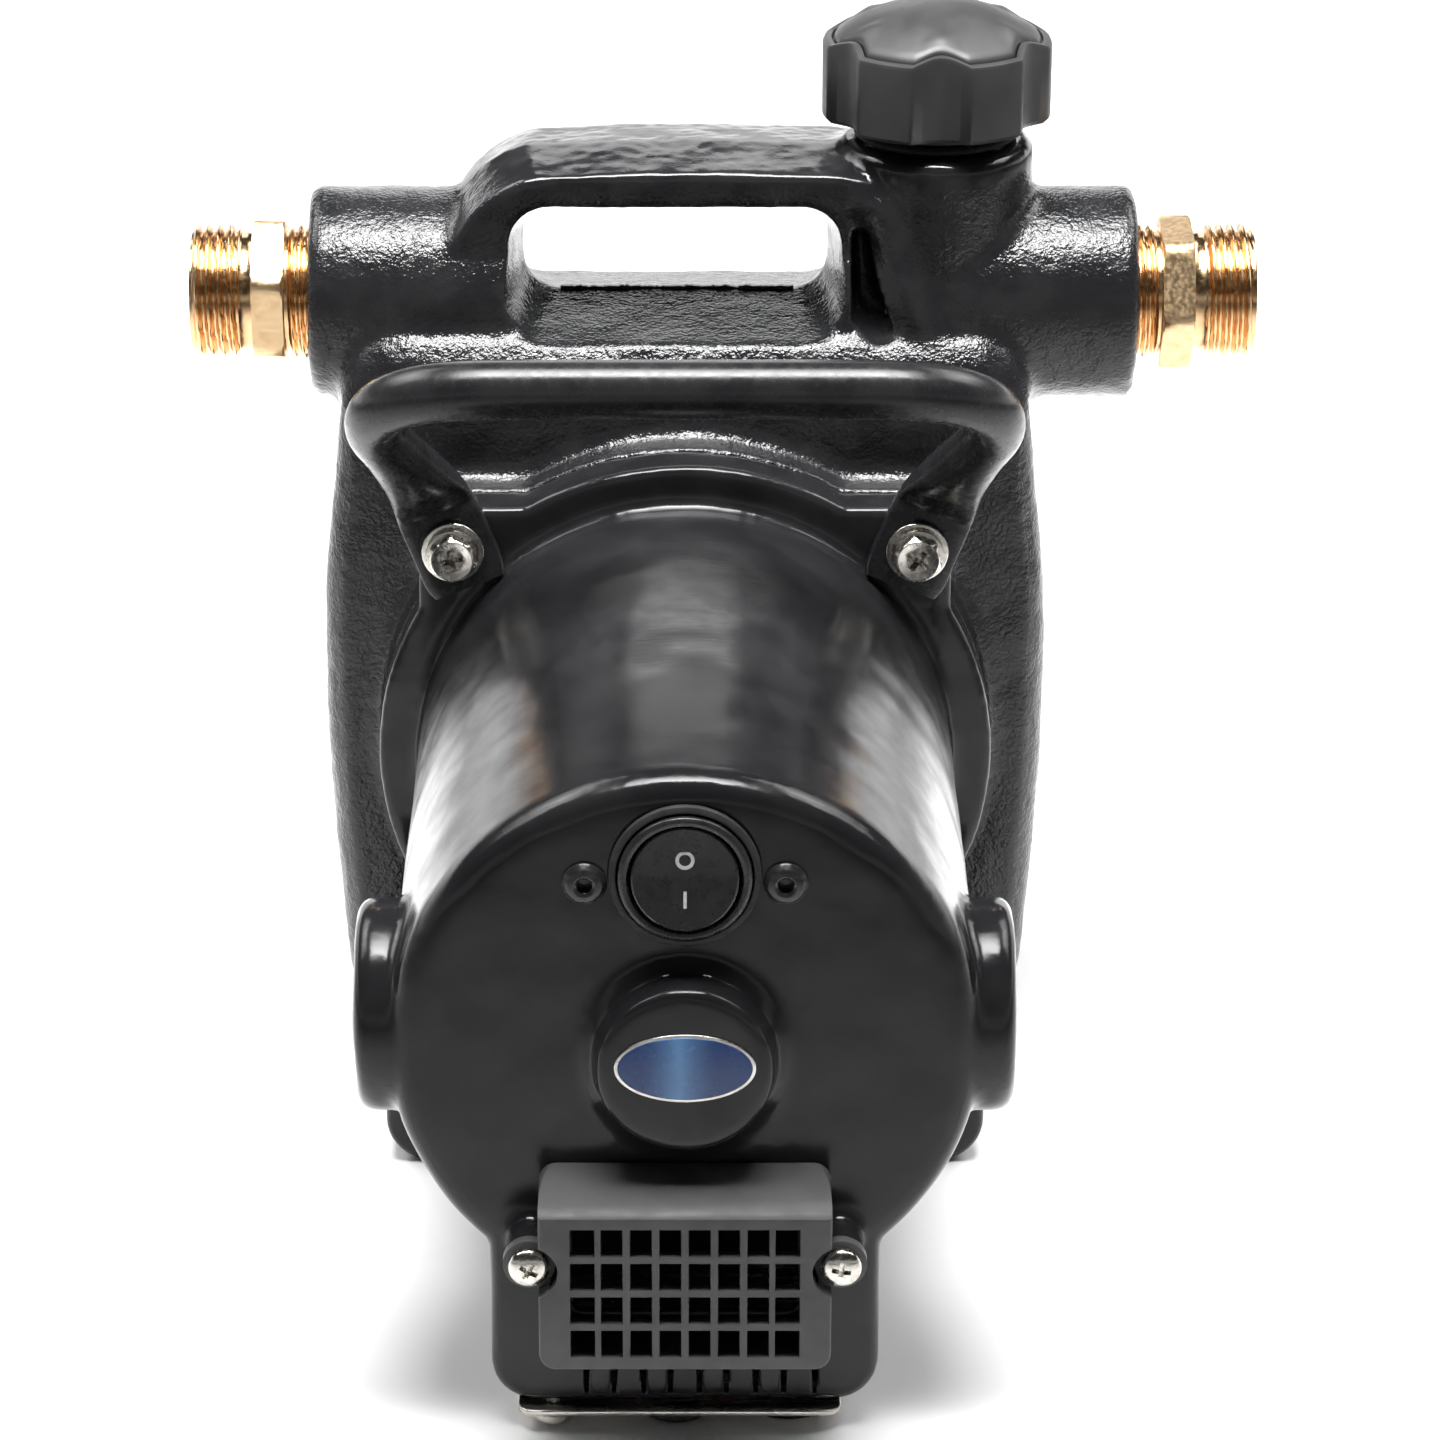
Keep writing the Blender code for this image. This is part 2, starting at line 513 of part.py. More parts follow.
# ---- motor --------------------------------------------------------------------------------------
def motor_housing():
    """Flange, barrel, end wall, brush bosses and duct box in one casting, open at the pump end."""
    flange = flange_outline_solids(FLANGE_FRONT_Y, FLANGE_BACK_Y)
    body = turned("motor_housing", [
        (0, FLANGE_BACK_Y - 2), (BARREL_R, FLANGE_BACK_Y - 2),
        (BARREL_R, END_Y + END_ROUND), (BARREL_R - 0.3 * END_ROUND, END_Y + 0.3 * END_ROUND),
        (BARREL_R - END_ROUND, END_Y), (17, END_Y),
        (15.7, END_Y - 1.3), (15.7, HUB_FACE_Y + 2), (13.7, HUB_FACE_Y), (0, HUB_FACE_Y)],
        DIE_CAST, steps=32)
    end = BRUSH_BOSS_X
    boss = turned("bosses", [(0, -end), (BRUSH_BOSS_R - 2.5, -end), (BRUSH_BOSS_R, -end + 2.5),
                             (BRUSH_BOSS_R, end - 2.5), (BRUSH_BOSS_R - 2.5, end), (0, end)], None, "X",
                  (0, BRUSH_Y, AXIS_Z), 18)
    half = DUCT_HALF_X
    neck = [(-half - 9, AXIS_Z - 14), (-half - 3, AXIS_Z - 25), (-half, AXIS_Z - 35)]
    duct = neck + arc(-half + 5, DUCT_BOTTOM_Z + 5, 5, 180, 270, 3)
    duct += [(-x, z) for x, z in reversed(duct)]
    posts = [rod(4, GRILLE_POST_Y, END_Y + 1, "Y", (side * GRILLE_SCREW[0], 0, GRILLE_SCREW[1]), 12)
             for side in (-1, 1)]
    add(body, flange, boss, prism("duct", duct, END_Y, DUCT_BACK_Y), *posts)

    inside = turned("inside", [(0, FLANGE_BACK_Y + 5), (MOUTH_R, FLANGE_BACK_Y + 5),
                               (MOUTH_R, FLANGE_FRONT_Y + 1), (BARREL_BORE_R, FLANGE_FRONT_Y),
                               (BARREL_BORE_R, -172), (11, -172), (11, -182), (0, -182)], None, steps=26)
    hollow = prism("hollow", rounded_box(-31, 31, DUCT_BOTTOM_Z - 5, AXIS_Z - 36, 3, 1),
                   END_Y + 2, DUCT_BACK_Y - 4)
    window = prism("window", rounded_box(-20, 20, 24, 45, 2, 1), END_Y - 5, -170)
    switch = rod(11.8, END_Y - 5, -170, "Y", (0, 0, SWITCH_Z), 20)
    cut(body, inside, hollow, window, switch)
    cut(body, rod(8, -70, 70, "X", (0, BRUSH_Y, AXIS_Z), 14))
    for side in (-1, 1):
        cut(body, rod(2.0, END_Y - 5, -170, "Y", (side * RIVET_X, 0, RIVET_Z), 10))
        cut(body, rod(1.8, GRILLE_POST_Y - 5, -171, "Y", (side * GRILLE_SCREW[0], 0, GRILLE_SCREW[1]), 10))
    cut(body, *[rod(3.3, -50, -30, "Y", (x, 0, z), 12) for x, z in corners()])
    cut(body, rod(1.9, 0, 18, "Z", (*PLATE_SCREW_AT, 0), 10))
    slot = [box(x - 1.2, x + 1.2, END_Y - 5, -170, 7.5, 16.5) for x in np.linspace(-20, 20, 9)]
    return cut(body, *slot)


def seal_bracket():
    """Front bearing and shaft seal carrier between the motor and the pump."""
    lip = PAD_Y + 0.1
    profile = [(5.8, -44), (5.8, -42), (13, -42), (13, -34.4), (53.7, -34.4), (53.7, lip), (49.6, lip),
               (49.6, -43.6), (19, -43.6), (19, -62), (15.1, -62), (15.1, -44)]
    return turned("seal_bracket", profile, ALUMINIUM, steps=18)


def bearing(name, bore, outer, low, high, centre_groove=1.2):
    """Sealed ball bearing drawn as one ring, dished between its races."""
    third = (outer - bore) / 3
    front, back = low + centre_groove / 2, high - centre_groove / 2
    profile = [(bore, low), (bore + third, front), (outer - third, front), (outer, low), (outer, high),
               (outer - third, back), (bore + third, back), (bore, high)]
    return turned(name, profile, SHAFT_STEEL, steps=16)


def stator():
    core = turned("stator_core", [(STATOR_BORE_R, -128), (STATOR_R, -128), (STATOR_R, -86),
                                  (STATOR_BORE_R, -86)], LAMINATION, steps=30)
    for middle in (0, 180):
        cut(core, prism("window", sector(20, 36.2, middle - 35, middle + 35), -140, -80))
    for name, middle in (("field_coil_upper", 90), ("field_coil_lower", 270)):
        coil = prism(name, sector(26.5, 35.8, middle - 86, middle + 86, 12), -134, -80, COPPER)
        cut(coil, prism("pole", sector(20, 40, middle - 55.6, middle + 55.6, 12), -128.3, -85.7))


def brush_gear(name_end, side):
    """Brass guide, carbon brush, spring and threaded cap in one brush boss."""
    def along(distance):
        return side * distance

    centre = (0, BRUSH_Y, AXIS_Z)
    holder = turned("brush_holder_" + name_end, [(0, along(17)), (7.6, along(17)), (7.6, along(50)),
                                                 (0, along(50))], BRASS, "X", centre, 16)
    low, high = sorted((along(10), along(60)))
    channel = [(BRUSH_Y - 4.3, AXIS_Z - 3.3), (BRUSH_Y + 4.3, AXIS_Z - 3.3),
               (BRUSH_Y + 4.3, AXIS_Z + 3.3), (BRUSH_Y - 4.3, AXIS_Z + 3.3)]
    cut(holder, prism("channel", channel, low, high, axis="X"))
    block = [(BRUSH_Y - 4, AXIS_Z - 3), (BRUSH_Y + 4, AXIS_Z - 3), (BRUSH_Y + 4, AXIS_Z + 3),
             (BRUSH_Y - 4, AXIS_Z + 3)]
    low, high = sorted((along(COMMUTATOR_R + 0.4), along(31)))
    prism("carbon_brush_" + name_end, block, low, high, CARBON, "X", origin=(along(22), BRUSH_Y, AXIS_Z))
    turns, radius = 5, 2.3
    route = [(along(31.8 + 17.6 * a / (turns * math.tau)), BRUSH_Y + radius * math.cos(a),
              AXIS_Z + radius * math.sin(a)) for a in np.linspace(0, turns * math.tau, turns * 7 + 1)]
    swept("brush_spring_" + name_end, route, 0.3, SHAFT_STEEL, sides=4)
    cap = turned("brush_cap_" + name_end, [(0, along(50.4)), (7.6, along(50.4)), (7.6, along(56.6)),
                                           (6.9, along(57.2)), (0, along(57.2))], BLACK_PLASTIC, "X",
                 centre, 20)
    low, high = sorted((along(55.8), along(60)))
    cut(cap, prism("slot", [(BRUSH_Y - 9, AXIS_Z - 0.8), (BRUSH_Y + 9, AXIS_Z - 0.8),
                            (BRUSH_Y + 9, AXIS_Z + 0.8), (BRUSH_Y - 9, AXIS_Z + 0.8)], low, high, axis="X"))


def switch():
    """Round rocker switch with its sealing ring; the rocker tips about a level pin."""
    centre = (0, 0, SWITCH_Z)
    face = END_Y - GAP
    turned("switch_seal", [(11.9, face), (13.15, face), (13.15, face - 1.2), (11.9, face - 1.6)], RUBBER,
           centre=centre, steps=20)
    turned("switch_body", [(0, -160), (10.9, -160), (10.9, face - 0.2), (11.55, face - 0.2),
                           (11.55, face - 2), (11, face - 2.6), (9.8, face - 2.6), (9.8, -170), (0, -170)],
           SWITCH_PLASTIC, centre=centre, steps=20)
    pivot = (0, face - 0.5, SWITCH_Z)
    rocker = turned("switch_rocker", [(0, pivot[1] + 3), (6, pivot[1] + 3), (9.35, pivot[1] + 1.5),
                                      (9.35, pivot[1] - 1.7), (8.6, pivot[1] - 2.4), (0, pivot[1] - 2)],
                    SWITCH_PLASTIC, centre=centre, steps=20, origin=pivot)
    rocker.rotation_euler.x = ROCKER_REST_TILT
    for name_end, side in (("left", -1), ("right", 1)):
        turned("rivet_" + name_end, [(0, -171), (1.7, -171), (1.7, face), (3.85, face), (3.3, face - 1.3),
                                     (1.6, face - 1.6), (1.4, face), (0, face)], BLACK_TUBE,
               centre=(side * RIVET_X, 0, RIVET_Z), steps=12)


def vent_grille():
    """Hollow plastic cover with a sloping top and a grid of eight by four holes."""
    half, back = GRILLE_HALF_X, END_Y - GAP
    front, top, bottom = GRILLE_FRONT_Y, GRILLE_TOP_Z, GRILLE_BOTTOM_Z
    side_view = [(back, bottom), (front, bottom), (front, top - 4.3), (front + 0.9, top - 3.4), (back, top)]
    cover = prism("vent_grille", side_view, -half, half, BLACK_PLASTIC, "X")
    inner = [(back + 5, bottom + 2), (front + 2, bottom + 2), (front + 2, top - 6.4), (back, top - 2),
             (back + 5, top - 2)]
    cut(cover, prism("inside", inner, -half + 2, half - 2, axis="X"))
    ear_back = GRILLE_POST_Y - GAP
    ear_front = ear_back - GRILLE_EAR_THICK
    for side in (-1, 1):
        place = (side * GRILLE_SCREW[0], 0, GRILLE_SCREW[1])
        notch = rod(5.1, front - 5, ear_front + 0.5, "Y", place, 16)
        room_for_post = rod(4.3, ear_back - 0.5, back + 5, "Y", place, 14)
        cut(cover, notch, room_for_post)
        add(cover, rod(4.6, ear_front, ear_back, "Y", place, 16))
        cut(cover, rod(1.9, front - 5, back + 5, "Y", place, 10))
    columns, rows, pitch_x, pitch_z = 8, 4, 5.12, 6.64
    bm = bmesh.new()
    for column in range(columns):
        for row in range(rows):
            x = (column - (columns - 1) / 2) * pitch_x
            z = (bottom + 15.2) + (row - (rows - 1) / 2) * pitch_z
            made = bmesh.ops.create_cube(bm, size=1)
            bmesh.ops.scale(bm, verts=made["verts"], vec=(4.0, 5, 5.5))
            bmesh.ops.translate(bm, verts=made["verts"], vec=(x, front + 1, z))
    return cut(cover, finish("holes", bm, None))


def pan_screw(name, head_r, head_h, shank_r, length, place, axis="Y", outward=-1):
    """Domed head that rests on place, shank running the other way."""
    seat = dict(zip("XYZ", place))[axis]
    head = [(shank_r, seat), (head_r, seat), (head_r, seat + outward * head_h * 0.35),
            (head_r * 0.75, seat + outward * head_h * 0.85), (0, seat + outward * head_h)]
    profile = [(0, seat - outward * length), (shank_r, seat - outward * length)] + head
    return turned(name, profile, BRIGHT_STEEL, axis, place, 12)


def hex_screw(name, place, tip, washers=True):
    """Hexagon screw through the flange into the casing."""
    x, seat, z = place
    screw = prism(name, hexagon(x, z, 8.4, 30), seat - 4.2, seat, BRIGHT_STEEL)
    add(screw, rod(2.9, seat - 1, tip, "Y", (x, 0, z), 8))
    if washers:
        add(screw, rod(5.2, seat - 1.4, seat, "Y", (x, 0, z), 16))
    return screw


def handle_path():
    """Half of the bow, from the end of the right strap to the middle of the bar."""
    bow = [(EAR - 3.0, -7.8), (EAR - 1.9, -5), (EAR, 0), (EAR + 2, 5), (EAR + 4, 10), (51.6, 20), (55.2, 31),
           (HANDLE_HALF_X, 41), (56.3, 49), (50, 54.6), (40, HANDLE_RISE - 0.4), (26, HANDLE_RISE),
           (0, HANDLE_RISE)]
    points = []
    for x, s in bow:
        bend = max(s - 8.0, 0)
        y = FLANGE_FRONT_Y - 1.5 * GAP - STRAP_THICK / 2 - 0.825 * bend * bend / (bend + 5)
        points.append((x, y, AXIS_Z + EAR + s - 0.25 * bend))
    return points


def carry_handle():
    """Tube bow whose ends are pressed flat under the upper flange screws."""
    half = handle_path()
    flat = [(3.6, 1), (7.0, 1), (STRAP_HALF, 1), (STRAP_HALF, 1), (7.4, 0.9), (6.0, 0.25)]
    sections = [(wide, HANDLE_TUBE_R + (STRAP_THICK / 2 - HANDLE_TUBE_R) * share) for wide, share in flat]
    sections += [(HANDLE_TUBE_R, HANDLE_TUBE_R)] * (len(half) - len(flat))
    points = half + [(-x, y, z) for x, y, z in reversed(half[:-1])]
    sections += sections[-2::-1]
    smooth = curve_through([(*point, *section) for point, section in zip(points, sections)], 2)
    bow = swept("carry_handle", [p[:3] for p in smooth], [p[3:] for p in smooth], BLACK_TUBE, sides=8,
                across=(1, 0, 0))
    for x, z in corners()[:2]:
        cut(bow, rod(3.3, -60, -40, "Y", (x, 0, z), 12))
    return bow


def base_parts():
    x0, x1, y0, y1 = PLATE
    plate = prism("base_plate", rounded_box(x0, x1, y0, y1, 3, 3), PLATE_BOTTOM_Z, PLATE_TOP_Z,
                  BRIGHT_STEEL, "Z")
    for (x, y), radius in ((PLATE_SCREW_AT, 1.9), (GLAND_AT, 4.8), (RUBBER_FOOT_AT, 2.3)):
        cut(plate, rod(radius, 0, 12, "Z", (x, y, 0), 14))
    pan_screw("plate_screw", 3.75, 2.8, 1.6, 9, (*PLATE_SCREW_AT, PLATE_BOTTOM_Z - GAP), "Z", -1)
    x, y = RUBBER_FOOT_AT
    turned("rubber_foot", [(0, 0), (9.4, 0), (10.3, PLATE_BOTTOM_Z - GAP), (2, PLATE_BOTTOM_Z - GAP),
                           (2, PLATE_TOP_Z + 3), (0, PLATE_TOP_Z + 3)], RUBBER, "Z", (x, y, 0), 24)
    x, y = GLAND_AT
    gland = turned("cord_gland", [(0, 0.5), (6.6, 0.5), (7.6, 1.8), (7.6, PLATE_BOTTOM_Z - GAP),
                                  (4.5, PLATE_BOTTOM_Z - GAP), (4.5, PLATE_TOP_Z + 5), (0, PLATE_TOP_Z + 5)],
                   BLACK_PLASTIC, "Z", (x, y, 0), 16)
    cut(gland, rod(3.0, 3.5, 20, "Z", (x, y, 0), 12))
    half, low, high = 58.8, -75.0, -58.0
    cradle = arc(0, AXIS_Z, BARREL_R + GAP, -28, -152, 12)
    saddle = [(-half, AXIS_Z - 27)] + arc(-half + 9, 9, 9, 180, 270, 4) + arc(half - 9, 9, 9, 270, 360, 4)
    saddle += [(half, AXIS_Z - 27)] + cradle
    prism("motor_foot", saddle, low, high, DIE_CAST)


def fill_plug():
    """Screwed priming plug: scalloped knob, its top insert and the O-ring that rises with it."""
    turn = axis_empty("fill_plug_axis", (NECK_X, 0, NECK_TOP_Z))
    keep = dict(origin=(NECK_X, 0, NECK_TOP_Z), parent=turn)
    low, mid, top = 191.2, 208.0, 215.5
    lobes = []
    for i in range(KNOB_LOBES * 8):
        angle = math.tau * i / (KNOB_LOBES * 8)
        wave = math.cos(KNOB_LOBES * (angle + math.pi / 2))
        radius = KNOB_R - KNOB_SCALLOP * max(wave, 0)
        lobes.append((NECK_X + radius * math.cos(angle), radius * math.sin(angle)))
    knob = prism("fill_plug", lobes, low, mid, BLACK_PLASTIC, "Z", **keep)
    stem = [(0, PORT_Z + 16), (12.4, PORT_Z + 16), (12.4, 190), (15.5, 190.6), (15.5, low + 1), (0, low + 1)]
    add(knob, turned("stem", stem, None, "Z", (NECK_X, 0, 0), 18))
    cut(knob, rod(17.2, mid - 2, mid + 5, "Z", (NECK_X, 0, 0), 24))
    turned("fill_plug_insert", [(0, mid - 1.7), (16.9, mid - 1.7), (16.9, mid + 1.2), (14.5, top - 3.6),
                                (9, top - 1), (0, top)], BLACK_PLASTIC, "Z", (NECK_X, 0, 0), 24, **keep)
    turned("fill_plug_o_ring", [(12.8, 188.4), (15.6, 188.3), (16.2, 189.1), (15.6, 189.9), (12.8, 189.9)],
           RUBBER, "Z", (NECK_X, 0, 0), 24, origin=(NECK_X, 0, NECK_TOP_Z))


def drain_plug():
    place = (0, 0, AXIS_Z - 40)
    plug = prism("drain_plug", hexagon(0, AXIS_Z - 40, 13), BELL_BACK_Y + GAP, BELL_BACK_Y + 6.5, BRASS)
    return add(plug, rod(6.0, BELL_BACK_Y - 6, BELL_BACK_Y + 2, "Y", place, 18))


# ---- assembly -----------------------------------------------------------------------------------
pump_casing()
adapter("suction_adapter", SUCTION_END_X, -1)
adapter("discharge_adapter", DISCHARGE_END_X, 1)
check_valve()
ejector()
diffuser()
turned("casing_gasket", [(50.3, -34.1), (53.7, -34.1), (53.7, -32.8), (50.3, -32.8)], RUBBER, steps=28)
fill_plug()
drain_plug()
motor_housing()
seal_bracket()
turned("seal_seat", [(6, -41.7), (12.7, -41.7), (12.7, -36), (6, -36)], CERAMIC, steps=24)
bearing("front_bearing", 5.3, 14.8, -61, -52)
bearing("rear_bearing", 4.3, 10.7, -180, -173)
rotor(axis_empty("rotor_axis", (0, 0, AXIS_Z)))
stator()
brush_gear("left", -1)
brush_gear("right", 1)
switch()
vent_grille()
for word, sign in (("left", -1), ("right", 1)):
    pan_screw("grille_screw_" + word, 3.6, 2.6, 1.5, 9,
              (sign * GRILLE_SCREW[0], GRILLE_POST_Y - 2 * GAP - GRILLE_EAR_THICK, GRILLE_SCREW[1]))
base_parts()
carry_handle()
for (place_x, place_z), word in zip(corners(), ("left", "right")):
    strap_front = FLANGE_FRONT_Y - 3 * GAP - STRAP_THICK
    turned("handle_washer_" + word, [(3.2, strap_front), (6, strap_front), (6, strap_front - 1.2),
                                     (3.2, strap_front - 1.2)], BRIGHT_STEEL,
           centre=(place_x, 0, place_z), steps=16)
    hex_screw("handle_screw_" + word, (place_x, strap_front - 1.5, place_z), PAD_Y + 8)
for (place_x, place_z), word in zip(corners()[2:], ("left", "right")):
    hex_screw("flange_screw_" + word, (place_x, FLANGE_FRONT_Y - GAP, place_z), PAD_Y + 8)

for made in bpy.data.objects:
    if made.type == "MESH":
        made.data.shade_smooth()
        made.data.set_sharp_from_angle(angle=math.radians(32))
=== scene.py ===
import json
import math

import bmesh
import bpy
import numpy as np
from mathutils import Matrix, Vector, noise


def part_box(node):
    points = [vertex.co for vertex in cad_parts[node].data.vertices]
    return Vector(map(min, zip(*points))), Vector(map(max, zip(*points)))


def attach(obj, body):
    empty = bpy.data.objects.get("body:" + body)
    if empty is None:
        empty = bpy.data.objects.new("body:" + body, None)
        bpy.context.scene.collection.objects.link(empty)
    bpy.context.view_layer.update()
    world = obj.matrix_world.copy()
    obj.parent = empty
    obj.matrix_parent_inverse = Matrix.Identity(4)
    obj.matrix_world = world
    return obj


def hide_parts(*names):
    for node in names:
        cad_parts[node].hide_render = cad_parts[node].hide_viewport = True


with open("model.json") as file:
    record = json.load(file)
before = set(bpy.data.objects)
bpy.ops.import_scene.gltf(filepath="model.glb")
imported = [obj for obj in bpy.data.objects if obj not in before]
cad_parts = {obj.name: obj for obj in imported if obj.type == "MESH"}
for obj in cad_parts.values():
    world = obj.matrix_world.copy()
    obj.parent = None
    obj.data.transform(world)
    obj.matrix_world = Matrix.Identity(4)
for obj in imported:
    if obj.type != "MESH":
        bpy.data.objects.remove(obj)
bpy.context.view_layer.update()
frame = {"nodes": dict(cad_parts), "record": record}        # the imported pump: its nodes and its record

MM = 0.001


def span(node):
    """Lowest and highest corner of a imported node, in millimetres."""
    low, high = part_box(node)
    return low / MM, high / MM


def centre_of(node):
    """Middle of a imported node's box: its x, y and z in millimetres."""
    return [(low + high) / 2 for low, high in zip(*span(node))]


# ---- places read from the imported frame
CASING_LOW, CASING_HIGH = span("pump_casing")
HOUSING_LOW, HOUSING_HIGH = span("motor_housing")
AXIS_Z = centre_of("rotor_core")[2]
PORT_Z = centre_of("suction_adapter")[2]
NECK_X = centre_of("fill_plug")[0]
NECK_TOP_Z = CASING_HIGH.z
PAD_Y = CASING_LOW.y
FLANGE_BACK_Y = HOUSING_HIGH.y
POST_Y = HOUSING_LOW.y       # front of the posts that carry the grille
HUB_FACE_Y = POST_Y + 0.2
EAR = centre_of("handle_screw_right")[0]
BRUSH_Y = centre_of("brush_cap_left")[1]
BRUSH_BOSS_X = 58.0
SWITCH_Z = centre_of("switch_seal")[2]
RIVET_X, _, RIVET_Z = centre_of("rivet_right")
GRILLE_SCREW_X, _, GRILLE_SCREW_Z = centre_of("grille_screw_right")

# ---- sizes shared by several pieces
PORT_R = 21.0
NECK_R = 19.3
ROOT_Z = AXIS_Z + 66     # the cast handle and its web grow out of the body here
WALL = 6.0
HALF_DEPTH = 29.0       # casing body, each side of the parting plane
HANDLE_HALF_Y = 16.5
WEB_HALF_Y = 8.5        # thin web between the cast handle and the neck
SLOT = (-31.8, 28.0, PORT_Z + 0.8, PORT_Z + 21.2)      # at the parting plane
SLOT_DRAFT = 2.8        # taper of the slot's walls over half the handle's depth
BELL_R = 57.0
FLANGE_R = 60.3
FLANGE_HALF = 51.8
FLANGE_FRONT_Y = FLANGE_BACK_Y - 10.2
BARREL_R = 52.2
END_Y = HUB_FACE_Y + 7.8
END_ROUND = 6.2
HUB_R = 15.7
BOSS_R = 18.9
DUCT_HALF_X = 34.6
DUCT_BACK_Y = -118.0
DUCT_BOTTOM_Z = 4.9
POST_R = 4.0
VENT_SLOTS_X = (-17.6, -12.7, -7.4, -2.6, 2.6, 7.4, 12.7, 17.6, 23.2)
GAP = 0.3
SIDES = (("left", -1), ("right", 1))
FINE = 1.0       # scales every voxel


# ---- outlines
def arc(cx, cy, radius, start, end, steps):
    angles = np.radians(np.linspace(start, end, steps + 1))
    return [(cx + radius * math.cos(a), cy + radius * math.sin(a)) for a in angles]


def circle(cx, cy, radius, steps):
    return arc(cx, cy, radius, 0, 360, steps)[:-1]


def around(steps):
    """Angles of points equally spaced round a full turn."""
    return np.linspace(0, math.tau, steps + 1)[:-1]


def hexagon_radius(half_across, angle):
    """Distance from a hexagon's middle to its edge at an angle; half_across is to a flat."""
    return half_across / math.cos(angle % (math.pi / 3) - math.pi / 6)


def rounded_box(x0, x1, y0, y1, radius, steps=8):
    return (arc(x1 - radius, y1 - radius, radius, 0, 90, steps)
            + arc(x0 + radius, y1 - radius, radius, 90, 180, steps)
            + arc(x0 + radius, y0 + radius, radius, 180, 270, steps)
            + arc(x1 - radius, y0 + radius, radius, 270, 360, steps))


def filleted(points, radius, closed=False, steps=4):
    """The outline with each corner rounded; a point's own third value overrides the radius."""
    made = []
    count = len(points)
    for i, point in enumerate(points):
        here = Vector(point[:2])
        if not closed and i in (0, count - 1):
            made.append(tuple(here))
            continue
        before = Vector(points[i - 1][:2]) - here
        after = Vector(points[(i + 1) % count][:2]) - here
        wanted = point[2] if len(point) > 2 else radius
        angle = before.angle(after, math.pi)
        if wanted <= 0 or angle > math.radians(172):
            made.append(tuple(here))
            continue
        reach = min(wanted / math.tan(angle / 2), 0.49 * before.length, 0.49 * after.length)
        start, end = here + before.normalized() * reach, here + after.normalized() * reach
        for t in np.linspace(0, 1, steps + 1):
            made.append(tuple((1 - t) ** 2 * start + 2 * t * (1 - t) * here + t * t * end))
    return made


def curve_through(points, steps):
    """Smooth Catmull-Rom curve through points of any dimension."""
    ends = [points[0]] + list(points) + [points[-1]]
    found = []
    for a, b, c, d in zip(ends, ends[1:], ends[2:], ends[3:]):
        a, b, c, d = map(np.array, (a, b, c, d))
        for t in np.linspace(0, 1, steps, endpoint=False):
            found.append(0.5 * (2 * b + (c - a) * t + (2 * a - 5 * b + 4 * c - d) * t * t
                                + (3 * b - a - 3 * c + d) * t ** 3))
    return [tuple(p) for p in found] + [tuple(points[-1])]


# ---- solids
AXES = {
    "X": (Vector((1, 0, 0)), lambda a, b, along: (along, a, b)),
    "Y": (Vector((0, 1, 0)), lambda a, b, along: (a, along, b)),
    "Z": (Vector((0, 0, 1)), lambda a, b, along: (a, b, along)),
}


def placed(name, data):
    """A new object in the scene."""
    made = bpy.data.objects.new(name, data)
    bpy.context.scene.collection.objects.link(made)
    return made


def as_object(name, bm):
    bmesh.ops.remove_doubles(bm, verts=bm.verts, dist=0.0005)
    bmesh.ops.recalc_face_normals(bm, faces=bm.faces)
    mesh = bpy.data.meshes.new(name)
    bm.to_mesh(mesh)
    bm.free()
    return placed(name, mesh)


def grid_solid(name, rings, hole=False):
    """Closed solid through rings of equal length; with a hole, the last ring joins the first."""
    bm = bmesh.new()
    made = [[bm.verts.new(point) for point in ring] for ring in rings]
    pairs = list(zip(made, made[1:])) + ([(made[-1], made[0])] if hole else [])
    for lower, upper in pairs:
        for i in range(len(lower)):
            j = (i + 1) % len(lower)
            bm.faces.new((lower[i], lower[j], upper[j], upper[i]))
    if not hole:
        bm.faces.new(made[0])
        bm.faces.new(made[-1])
    return as_object(name, bm)


def lathe(name, stations, axis="Y", centre=(0, 0, AXIS_Z), steps=64, shape=None):
    """Solid around an axis. Stations are (radius, place); shape(radius, place, angle) may bend them.

    A profile whose ends both touch the axis is solid, and any other is closed round its hole.
    """
    direction, at = AXES[axis]
    middle = Vector(centre) - Vector(centre).dot(direction) * direction
    solid = stations[0][0] == 0 and stations[-1][0] == 0
    rings = []
    for radius, place in stations[1:-1] if solid else stations:
        ring = []
        for k in range(steps):
            angle = math.tau * k / steps
            r = shape(radius, place, angle) if shape else radius
            ring.append(Vector(at(r * math.cos(angle), r * math.sin(angle), place)) + middle)
        rings.append(ring)
    return grid_solid(name, rings, hole=not solid)


def prism(name, outline, low, high, axis="Y", bevel=0.0, segments=3):
    """Outline extruded along an axis, with its two rims rounded by bevel."""
    direction, at = AXES[axis]
    bm = bmesh.new()
    face = bm.faces.new([bm.verts.new(at(a, b, low)) for a, b in outline])
    grown = bmesh.ops.extrude_face_region(bm, geom=[face])
    moved = [v for v in grown["geom"] if isinstance(v, bmesh.types.BMVert)]
    bmesh.ops.translate(bm, verts=moved, vec=direction * (high - low))
    if bevel:
        caps = [f for f in bm.faces if len(f.verts) == len(outline)]
        rims = list({e for f in caps for e in f.edges})
        bmesh.ops.bevel(bm, geom=rims, offset=bevel, segments=segments, profile=0.5, affect="EDGES")
    return as_object(name, bm)


def stacked(name, sections):
    """Solid through outlines of equal point count: sections are (y, outline in x and z)."""
    return grid_solid(name, [[(x, y, z) for x, z in outline] for y, outline in sections])


